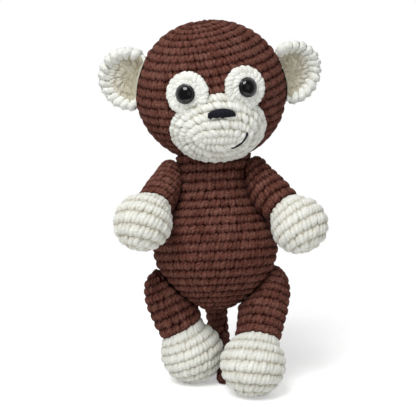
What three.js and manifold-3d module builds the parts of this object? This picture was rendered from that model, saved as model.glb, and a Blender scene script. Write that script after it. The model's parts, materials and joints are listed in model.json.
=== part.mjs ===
// A crocheted toy monkey: stuffed covers worked in the round, safety eyes, and limbs, ears and
// tail sewn on. Millimetres, +Z up. It faces -Y, so its own left side is +X.
// It stands on both feet and leans a little back onto its curled tail.
import * as THREE from 'three';
import { mergeVertices } from 'three/addons/utils/BufferGeometryUtils.js';
import Module from 'manifold-3d';

const wasm = await Module();
wasm.setup();

// Fabric and fits
const coverWall = 2.8;
const fillGap = 0.3;
const seatGap = 0.35;
const neckGap = 0.6;
const joinGap = 0.3;
const flatDepth = 0.5;

// Torso: a pear on its own axis, measured from its lowest point
const torsoRadius = 33.6;
const bellyHeight = 37;
const waistRadius = 18.8;
const waistHeight = 75;
const rimRadius = 19.9;
const torsoHeight = 85.7;
const seatHeight = 37.9;
const torsoShift = 2.2;
const leanBack = 7.5;
const leanSide = 1.45;

// Head: wider than it is deep or high, so that it can nod in the torso's rim
const headHalfWidth = 40.8;
const headRadius = 38.2;
const headNod = 18.5;
const headTurn = 3.4;
const headTilt = 1.35;
const nodDown = 4;
const closingRadius = 6;

// Muzzle: an oval cap on the front of the head
const muzzleHalfWidth = 25.2;
const muzzleHalfHeight = 21.5;
const muzzleHalfDepth = 22;
const muzzleReach = 25.3;
const muzzleDrop = 24.6;
const muzzleSlope = 12;

// Eyes
const patchRadius = 11;
const patchWall = 2.4;
const eyeSpread = 22.4;
const eyeRise = 11.8;
const eyeTilt = 1.4;
const eyeRadius = 5;
const eyeHeight = 3.8;
const flangeHeight = 1;
const shankRadius = 1.9;
const shankLength = 12;
const shankRidge = 0.35;
const washerRadius = 6;
const washerWall = 1.4;
const shankClearance = 0.3;

// Nose and mouth, sewn on the muzzle
const noseWidth = 14;
const noseHeight = 3.6;
const noseWall = 1.2;
const noseRise = 11.4;
const noseShift = 1.2;
const mouthThread = 0.45;
const mouthEnds = { startX: 5.2, startZ: -4.7, bendX: 11.6, bendZ: -3.5, endX: 14, endZ: 2 };

// Ears
const earRadius = 16.6;
const earWall = 7;
const earDish = 3.6;
const earOut = 43.4;
const earRise = 8.7;
const earBack = 1.7;
const earTurn = 18;
const earFold = 20;

// Arms and hands
const shoulderRadius = 5.2;
const shoulderGap = 0.8;
const shoulderHeight = 76;
const shoulderAngle = 76;
const wristRadius = 9.2;
const handRadius = 15;
const handGap = 1.2;
const handPlaces = { left: { angle: 61, height: 46.8 }, right: { angle: 48, height: 50.4 } };

// Legs and feet
const legRadius = 11.8;
const footRadius = 17;
const hipHeight = 15;
const hipInset = 3.2;
const hipPadWall = 0.8;
const hipSocketRadius = 45;
const stance = { left: { x: 20.7, y: -22 }, right: { x: -11, y: -0.6 } };

// Tail: it bows out behind, bends forward near the floor and runs between the feet
const tailRootRadius = 6;
const tailTipRadius = 4.5;
const tailHeight = 18;
const tailBow = 8;
const tailBend = 15;
const tailTipY = 2;
const tailLaneGap = 1.2;

// Seams of sewing yarn
const seamRadius = 1.1;
const shoulderSeamInner = 2.4;
const seamReach = 4.6;
const tailSeamReach = 5.2;
const hipSeamInner = 5.5;
const hipSeamOuter = 9;

// How finely the round forms are cut
const roundSteps = { head: 28, torso: 28, limb: 18, small: 18, inner: 16, core: 10, tail: 8 };

const brown = 0x5f3b31;
const cream = 0xdedcd2;
const material = {
  brownYarn: new THREE.MeshStandardMaterial({ color: brown, roughness: 0.95, metalness: 0 }),
  creamYarn: new THREE.MeshStandardMaterial({ color: cream, roughness: 0.95, metalness: 0 }),
  fill: new THREE.MeshStandardMaterial({ color: 0xf2f2f0, roughness: 1, metalness: 0 }),
  eye: new THREE.MeshStandardMaterial({ color: 0x0b0b0d, roughness: 0.08, metalness: 0 }),
  washer: new THREE.MeshStandardMaterial({ color: 0xe8e8e4, roughness: 0.5, metalness: 0 }),
  thread: new THREE.MeshStandardMaterial({ color: 0x22252f, roughness: 0.7, metalness: 0 }),
};

const degrees = THREE.MathUtils.degToRad;
const sides = { left: 1, right: -1 };

// Turning three.js geometry into solids and back

function indexedTriangles(geometry) {
  const bare = geometry.clone();
  bare.deleteAttribute('normal');
  bare.deleteAttribute('uv');
  const merged = mergeVertices(bare, 1e-4);
  const index = merged.index.array;
  const kept = [];
  for (let i = 0; i < index.length; i += 3) {
    const [a, b, c] = [index[i], index[i + 1], index[i + 2]];
    if (a !== b && b !== c && c !== a) kept.push(a, b, c);
  }
  return { points: merged.attributes.position.array, kept };
}

function signedVolume(points, kept) {
  let sum = 0;
  const [a, b, c] = [new THREE.Vector3(), new THREE.Vector3(), new THREE.Vector3()];
  for (let i = 0; i < kept.length; i += 3) {
    a.fromArray(points, kept[i] * 3);
    b.fromArray(points, kept[i + 1] * 3);
    c.fromArray(points, kept[i + 2] * 3);
    sum += a.dot(b.cross(c));
  }
  return sum / 6;
}

function solidOf(geometry, frame) {
  const placed = geometry.clone();
  if (frame) placed.applyMatrix4(frame.matrixWorld);
  const { points, kept } = indexedTriangles(placed);
  if (signedVolume(points, kept) < 0) kept.reverse();
  return new wasm.Manifold(
    new wasm.Mesh({
      numProp: 3,
      vertProperties: new Float32Array(points),
      triVerts: new Uint32Array(kept),
    }),
  );
}

function geometryOf(solid) {
  const mesh = solid.getMesh();
  const geometry = new THREE.BufferGeometry();
  geometry.setAttribute('position', new THREE.BufferAttribute(mesh.vertProperties, 3));
  geometry.setIndex(new THREE.BufferAttribute(mesh.triVerts, 1));
  geometry.computeVertexNormals();
  return geometry;
}

function addPart(name, frame, solid, look) {
  const geometry = geometryOf(solid);
  geometry.applyMatrix4(frame.matrixWorld.clone().invert());
  const mesh = new THREE.Mesh(geometry, look);
  mesh.name = name;
  frame.add(mesh);
}

// Basic forms, all turned so that their axis is Z

function ellipsoid(x, y, z, around) {
  const geometry = new THREE.SphereGeometry(1, around, Math.round(around / 2));
  geometry.rotateX(Math.PI / 2);
  geometry.scale(x, y, z);
  return geometry;
}

function turned(outline, around) {
  const geometry = new THREE.LatheGeometry(outline, around);
  geometry.rotateX(Math.PI / 2);
  return geometry;
}

function rod(radius, low, high, around) {
  return turned(
    [
      new THREE.Vector2(0, low),
      new THREE.Vector2(radius, low),
      new THREE.Vector2(radius, high),
      new THREE.Vector2(0, high),
    ],
    around,
  );
}

function arcPoints(centre, radius, fromAngle, toAngle, steps) {
  const points = [];
  for (let i = 0; i <= steps; i += 1) {
    const angle = fromAngle + ((toAngle - fromAngle) * i) / steps;
    points.push(new THREE.Vector2(radius * Math.cos(angle), centre + radius * Math.sin(angle)));
  }
  return points;
}

// Moves an outline inwards (or outwards, if the distance is negative) along its normals
function insetOutline(outline, distance) {
  const last = outline.length - 1;
  return outline.map((point, i) => {
    const before = outline[Math.max(i - 1, 0)];
    const after = outline[Math.min(i + 1, last)];
    const normal = new THREE.Vector2(after.y - before.y, before.x - after.x).normalize();
    if (i === 0) normal.set(0, -1);
    if (i === last && point.x === 0) normal.set(0, 1);
    const moved = point.clone().addScaledVector(normal, -distance);
    moved.x = Math.max(moved.x, 0);
    if (point.x === 0) moved.x = 0;
    return moved;
  });
}

// A frame whose Z axis points along a direction, set inside a parent frame
function frameAlong(parent, position, direction) {
  const frame = new THREE.Group();
  frame.position.copy(position);
  frame.quaternion.setFromUnitVectors(new THREE.Vector3(0, 0, 1), direction.clone().normalize());
  parent.add(frame);
  frame.updateWorldMatrix(true, false);
  return frame;
}

// Torso outline

const bellySteps = 7;
const flankSteps = 5;
const bellyPower = 1.4;
const flankPower = 2.4;

function bellyRadius(angle) {
  return torsoRadius * Math.sin(angle) ** bellyPower;
}

function flankRadius(share) {
  const fall = Math.cos((Math.PI / 2) * share) ** flankPower;
  return waistRadius + (torsoRadius - waistRadius) * fall;
}

function torsoRadiusAt(height) {
  if (height < bellyHeight) return bellyRadius(Math.acos(1 - height / bellyHeight));
  return flankRadius((height - bellyHeight) / (waistHeight - bellyHeight));
}

// Outward normal of the torso's outline, as a radial and a vertical share
function torsoNormalAt(height) {
  const step = 0.5;
  const rise = torsoRadiusAt(height + step) - torsoRadiusAt(height - step);
  return new THREE.Vector2(2 * step, -rise).normalize();
}

function torsoOutline() {
  const outline = [];
  for (let i = 0; i <= bellySteps; i += 1) {
    const angle = (Math.PI / 2) * (i / bellySteps);
    outline.push(new THREE.Vector2(i ? bellyRadius(angle) : 0, bellyHeight * (1 - Math.cos(angle))));
  }
  for (let i = 1; i <= flankSteps; i += 1) {
    const share = i / flankSteps;
    const height = bellyHeight + (waistHeight - bellyHeight) * share;
    outline.push(new THREE.Vector2(flankRadius(share), height));
  }
  outline.push(new THREE.Vector2(rimRadius, torsoHeight));
  outline.push(new THREE.Vector2(rimRadius, torsoHeight + coverWall));
  return outline;
}

function closedTop(outline) {
  const top = outline[outline.length - 1];
  return [...outline, new THREE.Vector2(0, top.y)];
}

function torsoSolid(inset, around) {
  return solidOf(turned(closedTop(insetOutline(torsoOutline(), inset)), around), torso);
}

// Limb outline: a round top, a tube that widens, and a ball at the end

function limbOutline(limb, inset) {
  const top = limb.topRadius - inset;
  const wrist = limb.wristRadius - inset;
  const ball = limb.ballRadius - inset;
  const join = limb.length - Math.sqrt(ball * ball - wrist * wrist);
  const joinAngle = -Math.asin((limb.length - join) / ball);
  const points = arcPoints(0, top, -Math.PI / 2, 0, 4);
  points[0].x = 0;
  points.push(new THREE.Vector2((top + wrist) / 2, join / 2));
  points.push(...arcPoints(limb.length, ball, joinAngle, Math.PI / 2, 7));
  points[points.length - 1].x = 0;
  return points;
}

function wristHeight(limb) {
  return limb.length - Math.sqrt(limb.ballRadius ** 2 - limb.wristRadius ** 2);
}

// Frames of the toy

const toy = new THREE.Group();

const torso = new THREE.Group();
torso.position.set(torsoShift, 0, seatHeight);
torso.rotation.set(-degrees(leanBack), -degrees(leanSide), 0, 'XYZ');
toy.add(torso);

const headLift = torsoHeight + Math.sqrt((headRadius + neckGap) ** 2 - rimRadius ** 2);
const head = new THREE.Group();
head.position.set(0, 0, headLift);
head.rotation.set(degrees(headNod), -degrees(headTilt), degrees(headTurn), 'ZYX');
torso.add(head);
toy.updateMatrixWorld(true);

function facing(turn, rise) {
  const flat = Math.cos(degrees(rise));
  return new THREE.Vector3(
    flat * Math.sin(degrees(turn)),
    -flat * Math.cos(degrees(turn)),
    Math.sin(degrees(rise)),
  );
}

function headReach(direction) {
  const x = direction.x / headHalfWidth;
  const yz = Math.hypot(direction.y, direction.z) / headRadius;
  return 1 / Math.hypot(x, yz);
}

const muzzle = new THREE.Group();
muzzle.position.copy(facing(headTurn / 2, -muzzleDrop).multiplyScalar(muzzleReach));
muzzle.rotation.x = degrees(muzzleSlope);
head.add(muzzle);
toy.updateMatrixWorld(true);

function headSolid(grow, around) {
  const form = ellipsoid(headHalfWidth + grow, headRadius + grow, headRadius + grow, around);
  return solidOf(form, head);
}

function muzzleSolid(grow, around) {
  const form = ellipsoid(
    muzzleHalfWidth + grow,
    muzzleHalfDepth + grow,
    muzzleHalfHeight + grow,
    around,
  );
  return solidOf(form, muzzle);
}

// Head

function eyeDirection(side) {
  return facing(side * eyeSpread, eyeRise + side * eyeTilt);
}

function eyeFrame(side) {
  const direction = eyeDirection(side);
  return frameAlong(head, direction.clone().multiplyScalar(headReach(direction)), direction);
}

const eyeFrames = { left: eyeFrame(sides.left), right: eyeFrame(sides.right) };
const washerSink = washerRadius ** 2 / (headRadius - coverWall);
const washerTop = -coverWall - washerSink - seatGap;

function buildHead() {
  const neck = frameAlong(torso, head.position, new THREE.Vector3(0, 0, 1));
  const closing = rod(closingRadius, -headRadius - coverWall, 0, roundSteps.inner);
  let cover = headSolid(0, roundSteps.head).subtract(headSolid(-coverWall, roundSteps.inner));
  let fill = headSolid(-coverWall - fillGap, roundSteps.inner);
  for (const frame of Object.values(eyeFrames)) {
    const bore = rod(shankRadius + shankClearance, -shankLength, coverWall, 12);
    const seat = rod(washerRadius + fillGap, -shankLength, washerTop + seatGap, 16);
    const pocket = rod(washerRadius + fillGap, -shankLength - fillGap, coverWall, 16);
    cover = cover.subtract(solidOf(bore, frame)).subtract(solidOf(seat, frame));
    fill = fill.subtract(solidOf(pocket, frame));
  }
  addPart('head_cover', head, cover.subtract(solidOf(closing, neck)), material.brownYarn);
  addPart('head_stuffing', head, fill, material.fill);
}

// The torso's frame as the head sees it when it nods down by an angle
function torsoFromNod(angle) {
  const nod = new THREE.Group();
  nod.rotation.x = -degrees(angle);
  head.add(nod);
  const frame = new THREE.Group();
  frame.applyMatrix4(head.matrixWorld.clone().invert().multiply(torso.matrixWorld));
  nod.add(frame);
  frame.updateWorldMatrix(true, false);
  return frame;
}

// All that the torso and its neck seam take up while the head nods down
function torsoUnderNod(grow) {
  const form = turned(closedTop(insetOutline(torsoOutline(), -grow)), roundSteps.torso);
  const solids = [0, nodDown / 2, nodDown].flatMap((angle) => {
    const frame = torsoFromNod(angle);
    return [solidOf(form, frame), solidOf(neckSeamRing(grow), frame)];
  });
  return solids.reduce((whole, solid) => whole.add(solid));
}

function buildMuzzle() {
  const seat = headSolid(seatGap, roundSteps.head);
  const below = torsoUnderNod(neckGap);
  const outer = muzzleSolid(0, roundSteps.small).subtract(seat).subtract(below);
  let cover = outer.subtract(muzzleSolid(-coverWall, roundSteps.inner));
  let fill = muzzleSolid(-coverWall - fillGap, roundSteps.inner)
    .subtract(seat)
    .subtract(torsoUnderNod(neckGap + coverWall));
  for (const frame of Object.values(eyeFrames)) {
    const room = rod(eyeRadius + seatGap, -eyeHeight, muzzleHalfDepth, 16);
    const fillRoom = rod(eyeRadius + coverWall + fillGap, -eyeHeight, muzzleHalfDepth, 16);
    cover = cover.subtract(solidOf(room, frame));
    fill = fill.subtract(solidOf(fillRoom, frame));
  }
  addPart('muzzle_cover', muzzle, cover, material.creamYarn);
  addPart('muzzle_stuffing', muzzle, fill, material.fill);
}

// Eyes: a domed button with a ridged shank, held by a washer inside the head

function eyeOutline() {
  const seat = seatGap + patchWall + seatGap;
  const outline = [new THREE.Vector2(0, -shankLength + seat)];
  const ridges = 3;
  const pitch = (shankLength - coverWall - patchWall) / ridges;
  for (let i = 0; i < ridges; i += 1) {
    const low = -shankLength + seat + pitch * i;
    outline.push(new THREE.Vector2(shankRadius - shankRidge, low));
    outline.push(new THREE.Vector2(shankRadius, low + pitch / 2));
  }
  outline.push(new THREE.Vector2(shankRadius - shankRidge, seat));
  outline.push(new THREE.Vector2(eyeRadius, seat));
  outline.push(new THREE.Vector2(eyeRadius, seat + flangeHeight));
  const dome = eyeHeight - flangeHeight;
  const steps = 5;
  for (let i = 1; i < steps; i += 1) {
    const angle = (Math.PI / 2) * (i / steps);
    const rise = seat + flangeHeight + dome * Math.sin(angle);
    outline.push(new THREE.Vector2(eyeRadius * Math.cos(angle), rise));
  }
  outline.push(new THREE.Vector2(0, seat + eyeHeight));
  return outline;
}

function buildEye(name, frame) {
  const shell = headSolid(seatGap + patchWall, roundSteps.head).subtract(
    headSolid(seatGap, roundSteps.head),
  );
  const disc = solidOf(rod(patchRadius, -eyeHeight, eyeHeight * 2, roundSteps.small), frame);
  const hole = solidOf(rod(shankRadius + shankClearance, -eyeHeight, eyeHeight * 2, 12), frame);
  const patch = shell.intersect(disc).subtract(hole).subtract(muzzleSolid(seatGap, roundSteps.small));
  addPart(`eye_patch_${name}`, frame, patch, material.creamYarn);
  addPart(`safety_eye_${name}`, frame, solidOf(turned(eyeOutline(), 16), frame), material.eye);
  const washer = solidOf(rod(washerRadius, washerTop - washerWall, washerTop, 20), frame).subtract(
    solidOf(rod(shankRadius + shankClearance / 2, -shankLength, 0, 16), frame),
  );
  addPart(`eye_washer_${name}`, frame, washer, material.washer);
}

// Nose and mouth: stitches of dark yarn on the muzzle's surface

function buildNose() {
  const half = noseWidth / 2;
  const outline = new THREE.Shape();
  outline.moveTo(-half, 0);
  outline.lineTo(half, 0);
  outline.absellipse(0, 0, half, noseHeight, 0, Math.PI, false, 0);
  const bar = new THREE.ExtrudeGeometry(outline, {
    depth: muzzleHalfDepth,
    bevelEnabled: false,
    curveSegments: 14,
  });
  bar.rotateX(Math.PI / 2);
  bar.translate(noseShift, 0, noseRise);
  const skin = muzzleSolid(seatGap + noseWall, roundSteps.small).subtract(
    muzzleSolid(seatGap, roundSteps.small),
  );
  addPart('nose_stitches', muzzle, skin.intersect(solidOf(bar, muzzle)), material.thread);
}

function onMuzzle(x, z) {
  const grow = seatGap + mouthThread;
  const wide = x / (muzzleHalfWidth + grow);
  const high = z / (muzzleHalfHeight + grow);
  const deep = Math.sqrt(Math.max(1 - wide * wide - high * high, 0));
  return new THREE.Vector3(x, -(muzzleHalfDepth + grow) * deep, z);
}

function buildMouth() {
  const ends = mouthEnds;
  const line = new THREE.QuadraticBezierCurve(
    new THREE.Vector2(ends.startX, ends.startZ),
    new THREE.Vector2(ends.bendX, ends.bendZ),
    new THREE.Vector2(ends.endX, ends.endZ),
  );
  const route = new THREE.CatmullRomCurve3(line.getPoints(6).map((p) => onMuzzle(p.x, p.y)));
  const section = new THREE.Shape();
  section.absarc(0, 0, mouthThread, 0, Math.PI * 2, false);
  const thread = new THREE.ExtrudeGeometry(section, {
    steps: 14,
    extrudePath: route,
    curveSegments: 6,
  });
  const solid = solidOf(thread, muzzle).subtract(muzzleSolid(seatGap / 2, roundSteps.small));
  addPart('mouth_stitch', muzzle, solid, material.thread);
}

// Ears: round cups, trimmed where they are sewn along the side of the head

function earOutline() {
  const back = -earWall / 2;
  const front = earWall / 2;
  const dish = front - earDish;
  return [
    new THREE.Vector2(0, back + 0.4),
    new THREE.Vector2(earRadius * 0.5, back + 0.6),
    new THREE.Vector2(earRadius * 0.8, back + 1.4),
    new THREE.Vector2(earRadius * 0.96, back + 3.2),
    new THREE.Vector2(earRadius, back + 5),
    new THREE.Vector2(earRadius * 0.94, front - 0.4),
    new THREE.Vector2(earRadius * 0.84, front),
    new THREE.Vector2(earRadius * 0.7, front - earDish * 0.45),
    new THREE.Vector2(earRadius * 0.4, dish + 0.5),
    new THREE.Vector2(0, dish),
  ];
}

// The line along the head's side that an ear folds on
function earHinge(side) {
  const z = earRise;
  const x = headHalfWidth * Math.sqrt(1 - (z / headRadius) ** 2 - (earBack / headRadius) ** 2);
  const normal = new THREE.Vector3(x / headHalfWidth ** 2, 0, z / headRadius ** 2).normalize();
  return {
    point: new THREE.Vector3(side * x, earBack, z),
    axis: new THREE.Vector3(-side * normal.z, 0, normal.x),
  };
}

function buildEar(name) {
  const side = sides[name];
  const place = new THREE.Vector3(side * earOut, earBack, earRise);
  const ear = frameAlong(head, place, facing(side * earTurn, 0));
  const hinge = earHinge(side);
  let cup = solidOf(turned(earOutline(), roundSteps.small), ear);
  for (const share of [-1, -0.5, 0, 0.5, 1]) {
    const form = ellipsoid(
      headHalfWidth + seatGap,
      headRadius + seatGap,
      headRadius + seatGap,
      roundSteps.head,
    );
    form.translate(-hinge.point.x, -hinge.point.y, -hinge.point.z);
    const fold = new THREE.Quaternion().setFromAxisAngle(hinge.axis, degrees(earFold * share));
    form.applyQuaternion(fold);
    form.translate(hinge.point.x, hinge.point.y, hinge.point.z);
    cup = cup.subtract(solidOf(form, head));
  }
  addPart(`ear_${name}`, ear, cup, material.creamYarn);
}

// Torso and its neck seam

function buildTorso() {
  const cup = headSolid(neckGap, roundSteps.head);
  const outer = torsoSolid(0, roundSteps.torso).subtract(cup);
  const open = insetOutline(torsoOutline(), coverWall);
  open.push(new THREE.Vector2(rimRadius - coverWall, headLift));
  const inner = solidOf(turned(closedTop(open), roundSteps.inner), torso);
  const fillCup = headSolid(neckGap + fillGap * 3, roundSteps.inner);
  const fill = torsoSolid(coverWall + fillGap, roundSteps.inner).subtract(fillCup);
  addPart('torso_cover', torso, outer.subtract(inner), material.brownYarn);
  addPart('torso_stuffing', torso, fill, material.fill);
}

// The seam lies in the crease between the torso's rim and the head
function neckSeamRing(grow) {
  const middle = rimRadius + seatGap + seamRadius;
  const bulge = (headHalfWidth - headRadius) * (middle / headRadius) ** 2;
  const reach = headRadius + bulge + seatGap + seamRadius;
  const ring = new THREE.TorusGeometry(middle, seamRadius + grow, 6, roundSteps.torso);
  ring.translate(0, 0, headLift - Math.sqrt(reach ** 2 - middle ** 2));
  return ring;
}

function buildNeckSeam() {
  addPart('neck_seam', torso, solidOf(neckSeamRing(0), torso), material.brownYarn);
}

// Arms

function aroundTorso(side, angle, radius, height) {
  const turn = degrees(angle);
  return new THREE.Vector3(side * radius * Math.sin(turn), -radius * Math.cos(turn), height);
}

function armPlan(name) {
  const side = sides[name];
  const place = handPlaces[name];
  const standOff = waistRadius + shoulderGap + shoulderRadius;
  const shoulder = aroundTorso(side, shoulderAngle, standOff, shoulderHeight);
  const bellyReach = torsoRadiusAt(place.height - handRadius / 2);
  const hand = aroundTorso(side, place.angle, bellyReach + handRadius + handGap, place.height);
  return { side, shoulder, hand, direction: hand.clone().sub(shoulder) };
}

function coverHalves(limb, frame, around) {
  const outer = solidOf(turned(limbOutline(limb, 0), around), frame);
  const inner = solidOf(turned(limbOutline(limb, coverWall), roundSteps.core), frame);
  const shell = outer.subtract(inner);
  const cut = wristHeight(limb);
  const reach = limb.length + limb.ballRadius * 2;
  const upper = solidOf(rod(reach, -reach, cut - joinGap / 2, 12), frame);
  const lower = solidOf(rod(reach, cut + joinGap / 2, reach, 12), frame);
  return { upper: shell.intersect(upper), lower: shell.intersect(lower) };
}

function buildArm(name) {
  const plan = armPlan(name);
  const frame = frameAlong(torso, plan.shoulder, plan.direction);
  const limb = {
    topRadius: shoulderRadius,
    wristRadius,
    ballRadius: handRadius,
    length: plan.direction.length(),
  };
  const halves = coverHalves(limb, frame, roundSteps.limb);
  const fill = solidOf(turned(limbOutline(limb, coverWall + fillGap), roundSteps.core), frame);
  addPart(`arm_cover_${name}`, frame, halves.upper, material.brownYarn);
  addPart(`hand_cover_${name}`, frame, halves.lower, material.creamYarn);
  addPart(`arm_stuffing_${name}`, frame, fill, material.fill);
  buildShoulderSeam(name, plan);
}

// Stitches round the back half of the shoulder, on the side that the arm swings away from
function buildShoulderSeam(name, plan) {
  const outward = aroundTorso(plan.side, shoulderAngle, 1, 0);
  const seat = aroundTorso(plan.side, shoulderAngle, waistRadius, shoulderHeight);
  const along = plan.direction.clone().projectOnPlane(outward).negate();
  const frame = frameAlong(torso, seat, outward);
  const ball = frameAlong(torso, plan.shoulder, outward);
  const behind = frameAlong(torso, seat, along);
  const top = shoulderRadius + joinGap;
  const ring = solidOf(rod(seamReach, -seamReach, shoulderRadius / 2, 16), frame)
    .subtract(solidOf(rod(shoulderSeamInner, -seamReach * 2, shoulderRadius, 12), frame))
    .subtract(torsoSolid(-joinGap, roundSteps.torso))
    .subtract(solidOf(ellipsoid(top, top, top, 20), ball))
    .intersect(solidOf(rod(seamReach * 2, joinGap, seamReach * 2, 4), behind));
  addPart(`shoulder_seam_${name}`, torso, ring, material.brownYarn);
}

// Legs: each lies against a round hip pad, and turns about the pad's middle

function hipPlan(name) {
  const side = sides[name];
  const normal = torsoNormalAt(hipHeight);
  const outward = new THREE.Vector3(side * normal.x, 0, normal.y);
  const contact = new THREE.Vector3(side * torsoRadiusAt(hipHeight), 0, hipHeight);
  const hip = contact.clone().addScaledVector(outward, hipInset);
  return { side, outward, contact, hip };
}

function footCentre(name) {
  const world = new THREE.Vector3(stance[name].x, stance[name].y, footRadius - flatDepth);
  return torso.worldToLocal(world);
}

function floorCut(solid) {
  const reach = torsoRadius * 4;
  const floor = new THREE.BoxGeometry(reach, reach, reach);
  floor.translate(0, 0, -reach / 2);
  return solid.subtract(solidOf(floor));
}

// A round socket about the hip's axis, so that the leg clears the torso at every swing
function hipSocket(plan, lift) {
  const centre = plan.contact.clone().addScaledVector(plan.outward, lift - hipSocketRadius);
  const frame = frameAlong(torso, centre, plan.outward);
  const cap = arcPoints(0, hipSocketRadius, Math.PI * 0.2, Math.PI / 2, 9);
  cap[cap.length - 1].x = 0;
  cap.unshift(new THREE.Vector2(0, cap[0].y));
  return solidOf(turned(cap, roundSteps.limb), frame);
}

function buildLeg(name) {
  const plan = hipPlan(name);
  const direction = footCentre(name).sub(plan.hip);
  const frame = frameAlong(torso, plan.hip, direction);
  const limb = {
    topRadius: legRadius,
    wristRadius: legRadius,
    ballRadius: footRadius,
    length: direction.length(),
  };
  const socketLift = joinGap + hipPadWall + seatGap;
  const socket = hipSocket(plan, socketLift);
  const halves = coverHalves(limb, frame, roundSteps.limb);
  const fill = solidOf(turned(limbOutline(limb, coverWall + fillGap), roundSteps.core), frame);
  const innerSocket = hipSocket(plan, socketLift + fillGap);
  addPart(`leg_cover_${name}`, frame, halves.upper.subtract(socket), material.brownYarn);
  addPart(`foot_cover_${name}`, frame, floorCut(halves.lower), material.creamYarn);
  addPart(`leg_stuffing_${name}`, frame, fill.subtract(innerSocket), material.fill);
  const padFrame = frameAlong(torso, plan.contact, plan.outward);
  const pad = solidOf(rod(hipSeamOuter, -coverWall, coverWall, 24), padFrame)
    .subtract(solidOf(rod(hipSeamInner, -coverWall * 2, coverWall * 2, 20), padFrame))
    .intersect(hipSocket(plan, joinGap + hipPadWall))
    .subtract(torsoSolid(-joinGap, roundSteps.torso));
  addPart(`hip_seam_${name}`, torso, pad, material.brownYarn);
}

// Tail: a narrow tube from the torso's lower back to the floor, curled forward between the feet

function tailPlan() {
  const normal = torsoNormalAt(tailHeight);
  const seat = new THREE.Vector3(0, torsoRadiusAt(tailHeight), tailHeight);
  const outward = new THREE.Vector3(0, normal.x, normal.y);
  const root = seat.clone().addScaledVector(outward, seatGap + tailRootRadius);
  return { seat, outward, root };
}

function tailRoute(plan) {
  const root = torso.localToWorld(plan.root.clone());
  const low = tailTipRadius - flatDepth;
  const apart = footRadius - flatDepth - low;
  const reach = footRadius + tailTipRadius + tailLaneGap;
  const lane = stance.right.x + Math.sqrt(reach * reach - apart * apart);
  const behind = root.y + tailBow;
  const ahead = behind - tailBend;
  return new THREE.CatmullRomCurve3(
    [
      root,
      new THREE.Vector3(root.x, behind - tailBow * 0.15, root.z * 0.74),
      new THREE.Vector3(root.x * 0.8 + lane * 0.2, behind, root.z * 0.44),
      new THREE.Vector3((root.x + lane) / 2, behind - tailBend * 0.37, low + tailBend * 0.3),
      new THREE.Vector3(lane, ahead, low),
      new THREE.Vector3(lane, (ahead + tailTipY) / 2, low),
      new THREE.Vector3(lane, tailTipY, low),
    ],
    false,
    'centripetal',
  );
}

// A tapering round tube with rounded ends along a route
function taperedTube(route, rootRadius, tipRadius, steps, around) {
  const frames = route.computeFrenetFrames(steps, false);
  const capSteps = 3;
  const rings = [];
  const ringAt = (i, along, radius) => {
    const centre = route.getPointAt(i / steps).addScaledVector(frames.tangents[i], along);
    const ring = [];
    for (let j = 0; j < around; j += 1) {
      const angle = (Math.PI * 2 * (j + 0.5)) / around;
      const point = centre.clone();
      point.addScaledVector(frames.normals[i], radius * Math.cos(angle));
      point.addScaledVector(frames.binormals[i], radius * Math.sin(angle));
      ring.push(point);
    }
    rings.push(ring);
  };
  for (let i = 1; i < capSteps; i += 1) {
    const angle = (Math.PI / 2) * (i / capSteps);
    ringAt(0, -rootRadius * Math.cos(angle), rootRadius * Math.sin(angle));
  }
  for (let i = 0; i <= steps; i += 1) {
    ringAt(i, 0, rootRadius + ((tipRadius - rootRadius) * i) / steps);
  }
  for (let i = capSteps - 1; i > 0; i -= 1) {
    const angle = (Math.PI / 2) * (i / capSteps);
    ringAt(steps, tipRadius * Math.cos(angle), tipRadius * Math.sin(angle));
  }
  const first = route.getPointAt(0).addScaledVector(frames.tangents[0], -rootRadius);
  const last = route.getPointAt(1).addScaledVector(frames.tangents[steps], tipRadius);
  const points = [first, ...rings.flat(), last];
  const index = [];
  const at = (ring, j) => 1 + ring * around + (j % around);
  const tip = points.length - 1;
  for (let j = 0; j < around; j += 1) {
    index.push(0, at(0, j + 1), at(0, j));
    for (let i = 0; i + 1 < rings.length; i += 1) {
      index.push(at(i, j), at(i, j + 1), at(i + 1, j));
      index.push(at(i, j + 1), at(i + 1, j + 1), at(i + 1, j));
    }
    index.push(tip, at(rings.length - 1, j), at(rings.length - 1, j + 1));
  }
  const geometry = new THREE.BufferGeometry().setFromPoints(points);
  geometry.setIndex(index);
  return geometry;
}

function buildTail() {
  const plan = tailPlan();
  const route = tailRoute(plan);
  const tailSteps = 22;
  const tube = taperedTube(route, tailRootRadius, tailTipRadius, tailSteps, roundSteps.tail);
  addPart('tail', toy, floorCut(solidOf(tube)), material.brownYarn);
  const frame = frameAlong(torso, plan.seat, plan.outward);
  const ring = solidOf(rod(tailSeamReach, -tailSeamReach, tailRootRadius / 2, 16), frame)
    .subtract(torsoSolid(-joinGap, roundSteps.torso))
    .subtract(solidOf(taperedTube(route, tailRootRadius + joinGap, tailTipRadius, tailSteps, 16)));
  addPart('tail_seam', torso, ring, material.brownYarn);
}

buildHead();
buildMuzzle();
for (const [name, frame] of Object.entries(eyeFrames)) buildEye(name, frame);
buildNose();
buildMouth();
for (const name of Object.keys(sides)) buildEar(name);
buildTorso();
buildNeckSeam();
for (const name of Object.keys(sides)) buildArm(name);
for (const name of Object.keys(sides)) buildLeg(name);
buildTail();

// The origin is on the floor, below the middle of the toy
const stand = new THREE.Group();
toy.updateMatrixWorld(true);
const extent = new THREE.Box3().setFromObject(toy, true);
const middle = extent.getCenter(new THREE.Vector3());
toy.position.set(-middle.x, -middle.y, -extent.min.z);
stand.add(toy);

export default stand;
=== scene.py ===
import json
import math
from functools import partial

import bpy
import numpy as np
from mathutils import Matrix


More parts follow.
